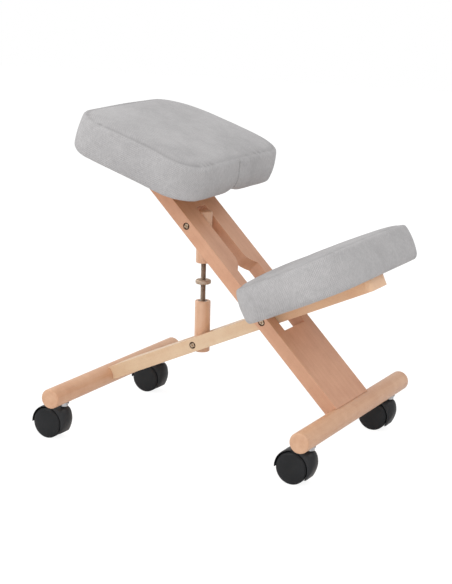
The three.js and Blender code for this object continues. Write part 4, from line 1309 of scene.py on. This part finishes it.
    @staticmethod
    def slab(outline: Sequence[Place], half: float) -> bmesh.types.BMesh:
        """An outline in X and Z, extruded to both sides of y = 0.

        Args:
            outline: The outline's points.
            half: Half the width.

        Returns:
            The closed shape.
        """
        part = bmesh.new()
        face = part.faces.new([part.verts.new((x, -half, z)) for x, z in outline])
        grown = bmesh.ops.extrude_face_region(part, geom=[face], use_keep_orig=True)
        moved = [item for item in grown["geom"] if isinstance(item, bmesh.types.BMVert)]
        bmesh.ops.translate(part, verts=moved, vec=(0, 2 * half, 0))
        bmesh.ops.recalc_face_normals(part, faces=part.faces)
        return part

    def build(self, shop: Workshop) -> None:
        """Makes the castor's pieces.

        Args:
            shop: Makes the finished pieces.
        """
        self.hood(shop)
        for label, side in (("right", -1), ("left", 1)):
            self.wheel(shop, label, side)
        steel = shop.finish(BRIGHT_STEEL)
        shop.eased_copy(f"{self.name}_stem", f"{self.name}_pin", steel, self.stem_easing)
        for part in ("socket", "axle"):
            shop.dress(f"{self.name}_{part}", steel)


@dataclass
class Adjuster:
    """The screw between the two barrels, with its hand disc."""

    rod_radius: float = 5 * MM
    rod_length: float = 174.9 * MM
    thread_depth: float = 0.5 * MM
    pitch: float = 1.5 * MM
    plain_half: float = 3 * MM
    disc_radius: float = 15 * MM
    disc_half: float = 4 * MM
    disc_edge: float = 2.6 * MM
    bore_gap: float = 0.1 * MM
    end_chamfer: float = 0.8 * MM
    core_share: float = 0.96
    turn_steps: int = 20

    def thread(self, up: int) -> bmesh.types.BMesh:
        """Half of the screw, with its thread.

        Args:
            up: 1 for the upper half, -1 for the lower, whose thread runs the other way.

        Returns:
            The shape, along Z from the screw's middle.
        """
        crest, root = self.rod_radius, self.rod_radius - self.thread_depth
        turns = int((self.rod_length / 2 - self.plain_half) / self.pitch) - 1
        start = self.plain_half
        form = bmesh.new()
        heights = [(root, 0.0), (crest, 0.42), (crest, 0.58), (root, 1.0)]
        verts = [form.verts.new((radius, 0, up * (start + share * self.pitch)))
                 for radius, share in heights]
        edges = [form.edges.new(pair) for pair in zip(verts, verts[1:])]
        bmesh.ops.spin(form, geom=verts + edges, cent=(0, 0, 0), axis=(0, 0, 1),
                       dvec=(0, 0, up * self.pitch / self.turn_steps), angle=2 * math.pi * turns,
                       steps=self.turn_steps * turns)
        bmesh.ops.remove_doubles(form, verts=form.verts, dist=0.01 * MM)
        return form

    def screw(self, shop: Workshop) -> None:
        """Makes the threaded rod.

        Args:
            shop: Makes the finished pieces.
        """
        form = bmesh.new()
        for up in (-1, 1):
            join(form, self.thread(up))
        end, middle, chamfer = self.rod_length / 2, self.plain_half, self.end_chamfer
        core = self.rod_radius - self.thread_depth * self.core_share
        join(form, turned([(0, -end), (core - chamfer, -end), (core, -end + chamfer), (core, -middle),
                           (self.rod_radius, -middle), (self.rod_radius, middle),
                           (core, middle), (core, end - chamfer), (core - chamfer, end), (0, end)], 40))
        form.transform(shop.layout.rod_place)
        bmesh.ops.recalc_face_normals(form, faces=form.faces)
        shop.smooth(form, 1)
        shop.piece(form, "screw", shop.finish(BRONZED_STEEL), "threaded_rod")

    def disc(self, shop: Workshop) -> None:
        """Makes the hand disc, rounded at its edge, with a bore for the rod.

        Args:
            shop: Makes the finished pieces.
        """
        radius, half, edge = self.disc_radius, self.disc_half, self.disc_edge
        bore = self.rod_radius + self.bore_gap
        profile: list[Place] = [(bore, -half)]
        profile += rounded((radius - edge, -half + edge), -90, 0, edge, 8)
        profile += rounded((radius - edge, half - edge), 0, 90, edge, 8)
        profile += [(bore, half), (bore, -half)]
        form = turned(profile, ROUND_STEPS)
        form.transform(shop.layout.rod_place)
        shop.smooth(form, 1)
        shop.piece(form, "hand_wheel", shop.finish(DISC_STEEL), "hand_disc")

    def build(self, shop: Workshop) -> None:
        """Makes the adjuster's pieces.

        Args:
            shop: Makes the finished pieces.
        """
        self.screw(shop)
        self.disc(shop)
        beech = shop.wood(BARREL_BEECH, Grain.UPRIGHT)
        for end in ("upper", "lower"):
            shop.eased_copy(f"{end}_barrel", f"{end}_dowel_barrel", beech, 0)
        for end in ("upper", "lower"):
            shop.dress(f"{end}_insert", shop.finish(BRONZED_STEEL))


@dataclass
class Woodwork:
    """The board, the beam, the foot bars and the wood under the seat."""

    long_edge: float = 12 * MM
    easing: float = 1.4 * MM
    bar_easing: float = 1.5 * MM
    bar_end: float = 3 * MM

    def build(self, shop: Workshop) -> None:
        """Makes the wooden pieces, and dresses the small ones that are hidden.

        Args:
            shop: Makes the finished pieces.
        """
        planks = [("main_board", "board", RED_BEECH, Grain.ALONG_BOARD),
                  ("lower_beam", "beam", PALE_BEECH, Grain.ALONG_BEAM)]
        for node, name, beech, grain in planks:
            shop.eased_copy(node, name, shop.wood(beech, grain), self.easing, shortest=self.long_edge)
        for end in ("front", "rear"):
            node = f"{end}_foot_bar"
            low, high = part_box(node)
            reach = (high[1] - low[1]) / 2 - self.bar_end
            shop.eased_copy(node, f"{end}_bar", shop.wood(BAR_BEECH, Grain.ALONG_BAR), self.bar_easing,
                            chosen=lambda middle, reach=reach: abs(middle.y) > reach)
            for side in ("right", "left"):
                grain = Grain.ALONG_BOARD if end == "front" else Grain.ALONG_BEAM
                shop.dress(f"{end}_dowel_{side}", shop.wood(RED_BEECH, grain))
        for side in ("right", "left"):
            shop.eased_copy(f"seat_cleat_{side}", f"seat_block_{side}",
                            shop.wood(RED_BEECH, Grain.ALONG_SEAT), self.easing, shortest=self.long_edge)
        shop.dress("seat_base", shop.wood(PLYWOOD, Grain.ALONG_SEAT))
        shop.dress("knee_base", shop.wood(PLYWOOD, Grain.ALONG_BEAM))


@dataclass
class Fasteners:
    """The cross bolts with their sleeve nuts, the screws and the washers."""

    head_easing: float = 0.7 * MM
    head_radius: float = 5.8 * MM
    # Where the painted shade on the head's rim starts, as a share of the head's radius.
    rim_shade_from: float = 0.45
    seat_bolt_easing: float = 0.3 * MM

    def build(self, shop: Workshop) -> None:
        """Makes the bolt heads, and dresses the rest.

        Args:
            shop: Makes the finished pieces.
        """
        layout = shop.layout
        steel, bronze = shop.finish(BRIGHT_STEEL), shop.finish(BRONZED_CAP)
        axes = {"pivot": layout.pivot, "upper_barrel": layout.upper_bolt, "lower_barrel": layout.lower_bolt}
        for name, axis in axes.items():
            def on_rim(middle: Vector, axis: Vector = axis) -> bool:
                """Whether an edge is on the head's outer rim."""
                return math.hypot(middle.x - axis.x, middle.z - axis.z) > self.head_radius

            for part, cap in (("bolt", "screw_cap"), ("sleeve_nut", "nut_cap")):
                made = shop.eased_copy(f"{name}_{part}", f"{name}_{cap}", bronze, self.head_easing, on_rim)
                # Marks where shade is painted on the head's outer rim.
                self.paint_rim_shade(made.data, axis)
        for side in ("right", "left"):
            shop.dress(f"pivot_washer_{side}", shop.finish(DARK_NYLON))
            for end in ("rear", "front"):
                shop.dress(f"seat_screw_{side}_{end}", steel)
        for end in ("rear", "front"):
            shop.dress(f"knee_screw_{end}", steel)
        shop.eased_copy("seat_cross_bolt", "seat_through_bolt", steel, self.seat_bolt_easing)

    def paint_rim_shade(self, mesh: bpy.types.Mesh, axis: Vector) -> None:
        """Marks how near each vertex is to the head's rim, where the material paints shade for the shadowed gap
        round the head.

        Args:
            mesh: The bolt or nut, which gets an attribute for its rim.
            axis: A point on its axis.
        """
        reach = [math.hypot(v.co.x - axis.x, v.co.z - axis.z) / self.head_radius for v in mesh.vertices]
        shares = np.clip((np.array(reach) - self.rim_shade_from) / (1 - self.rim_shade_from), 0, 1)
        mesh.attributes.new("rim", "FLOAT", "POINT").data.foreach_set("value", shares)


LAMPS = [
    ("key", (-1.46, -2.55, 2.48), 27),
    ("fill", (2.0, -1.0, 2.4), 19),
    ("low", (0.5, -2.6, 0.35), 8),
    ("rear", (-2.6, 0.3, 2.3), 29),
]


@dataclass
class Studio:
    """The camera, the lamps, the world and the floor."""

    layout: Layout
    focal_pixels: float = 1535.05
    picture_height: float = 584
    from_pivot: tuple[float, float, float] = (1.238725, -2.51254, 0.679627)
    yaw: float = math.radians(118.265)
    pitch: float = math.radians(-12.8125)
    roll: float = math.radians(0.6707)
    film: float = 36
    ambient: float = 0.69
    lamp_side: float = 1.6
    lamps_face: tuple[float, float, float] = (0, 0, 0.3)
    floor_side: float = 14
    floor_white: float = 0.86
    floor_glow: float = 1.2
    glow_share: float = 0.74

    def camera(self) -> None:
        """Puts the camera where the photograph was taken from."""
        made = bpy.data.cameras.new("camera")
        made.sensor_fit = "AUTO"
        made.sensor_width = self.film
        made.lens = self.focal_pixels * self.film / self.picture_height
        made.clip_end = 60
        ahead = Vector((math.cos(self.yaw) * math.cos(self.pitch),
                        math.sin(self.yaw) * math.cos(self.pitch), math.sin(self.pitch)))
        level = Vector((math.sin(self.yaw), -math.cos(self.yaw), 0))
        upright = level.cross(ahead)
        right = math.cos(self.roll) * level + math.sin(self.roll) * upright
        above = -math.sin(self.roll) * level + math.cos(self.roll) * upright
        turn = Matrix((right, above, -ahead)).transposed().to_4x4()
        holder = linked("camera", made)
        holder.matrix_world = Matrix.Translation(self.layout.pivot + Vector(self.from_pivot)) @ turn
        bpy.context.scene.camera = holder

    def lamp(self, name: str, place: Sequence[float], power: float) -> None:
        """Adds a square soft lamp that faces the chair.

        Args:
            name: Its name.
            place: Where it stands.
            power: Its power in watts.
        """
        made = bpy.data.lights.new(name, "AREA")
        made.shape = "SQUARE"
        made.size = self.lamp_side
        made.energy = power
        way = Vector(self.lamps_face) - Vector(place)
        turn = way.to_track_quat("-Z", "Y").to_matrix().to_4x4()
        linked(name, made).matrix_world = Matrix.Translation(place) @ turn

    def world(self) -> None:
        """Lights the chair evenly, and shows white to the camera."""
        made = bpy.data.worlds.new("studio")
        made.use_nodes = True
        tree = made.node_tree
        tree.nodes.clear()
        path = tree.nodes.new("ShaderNodeLightPath")
        seen = tree.nodes.new("ShaderNodeMath")
        seen.operation = "MAXIMUM"
        tree.links.new(path.outputs["Is Camera Ray"], seen.inputs[0])
        tree.links.new(path.outputs["Is Transmission Ray"], seen.inputs[1])
        strength = tree.nodes.new("ShaderNodeMapRange")
        tree.links.new(seen.outputs[0], strength.inputs[0])
        strength.inputs[3].default_value = self.ambient
        strength.inputs[4].default_value = 1.0
        sky = tree.nodes.new("ShaderNodeBackground")
        sky.inputs[0].default_value = (1, 1, 1, 1)
        tree.links.new(strength.outputs[0], sky.inputs[1])
        output = tree.nodes.new("ShaderNodeOutputWorld")
        tree.links.new(sky.outputs[0], output.inputs[0])
        bpy.context.scene.world = made

    def floor(self) -> None:
        """Lays a pale floor that keeps a faint shadow."""
        form = bmesh.new()
        bmesh.ops.create_grid(form, x_segments=1, y_segments=1, size=self.floor_side / 2)
        mesh = meshed(form, "floor")
        shader = Shader("pale_floor")
        tree = shader.tree
        tree.nodes.remove(shader.surface)
        output = next(n for n in tree.nodes if n.type == "OUTPUT_MATERIAL")
        matt = shader.node("ShaderNodeBsdfDiffuse", None, {0: (*[self.floor_white] * 3, 1)})
        glow = shader.node("ShaderNodeEmission", None, {0: (1, 1, 1, 1), 1: self.floor_glow})
        path = shader.node("ShaderNodeLightPath")
        share = Amount(shader, path.outputs["Is Camera Ray"]) * self.glow_share
        both = shader.node("ShaderNodeMixShader", None, {0: share, 1: matt.outputs[0], 2: glow.outputs[0]})
        tree.links.new(both.outputs[0], output.inputs[0])
        mesh.materials.append(shader.material)
        linked("floor", mesh)

    def build(self) -> None:
        """Sets up the studio."""
        self.camera()
        self.world()
        self.floor()
        for name, place, power in LAMPS:
            self.lamp(name, place, power)
        bpy.context.scene.view_settings.view_transform = "Standard"


def cushions(layout: Layout) -> list[Cushion]:
    """The seat's and the knees' cushions, with their real sizes.

    Args:
        layout: The folding frame's places and angles.

    Returns:
        Both cushions.
    """
    seat = Cushion(
        "seat_cushion", "seat_base", Matrix.Rotation(layout.seat_tilt, 4, "Y"),
        length=282 * MM, rear_width=370 * MM, front_width=386 * MM, corner=68 * MM, wall=66 * MM,
        crown=8 * MM, bow=4.5 * MM, droop=5 * MM, rear_rise=3 * MM, front_rise=-2.5 * MM,
        hem=-2.5 * MM, front_hem=-2 * MM, gate=0, seam=True, edge=3 * MM, tuck=3 * MM,
        rear_level=0.2, bulge=2.5 * MM, front_bulge=5 * MM, squareness=2.5)
    knees = Cushion(
        "knee_cushion", "knee_base", Matrix.Rotation(-layout.beam_angle, 4, "Y"),
        length=230 * MM, rear_width=400 * MM, front_width=424 * MM, corner=78 * MM, wall=65 * MM,
        crown=10.5 * MM, bow=2 * MM, droop=7 * MM, rear_rise=2 * MM, front_rise=7 * MM,
        hem=-5 * MM, front_hem=0.5 * MM, gate=38 * MM, seam=False, edge=4.5 * MM, tuck=7 * MM,
        rear_level=0.7, bulge=4 * MM, front_bulge=2.5 * MM, squareness=3)
    return [seat, knees]


def main() -> None:
    """Builds the chair's looks in order."""
    logging.basicConfig(level=logging.INFO)
    layout = Layout.read()
    Studio(layout).build()
    shop = Workshop(layout)
    for cushion in cushions(layout):
        cushion.build(shop)
    Woodwork().build(shop)
    Adjuster().build(shop)
    Fasteners().build(shop)
    for place in ("front", "rear"):
        for side in ("right", "left"):
            Castor(place, side).build(shop)
    bpy.context.view_layer.update()


if __name__ == "__main__":
    main()
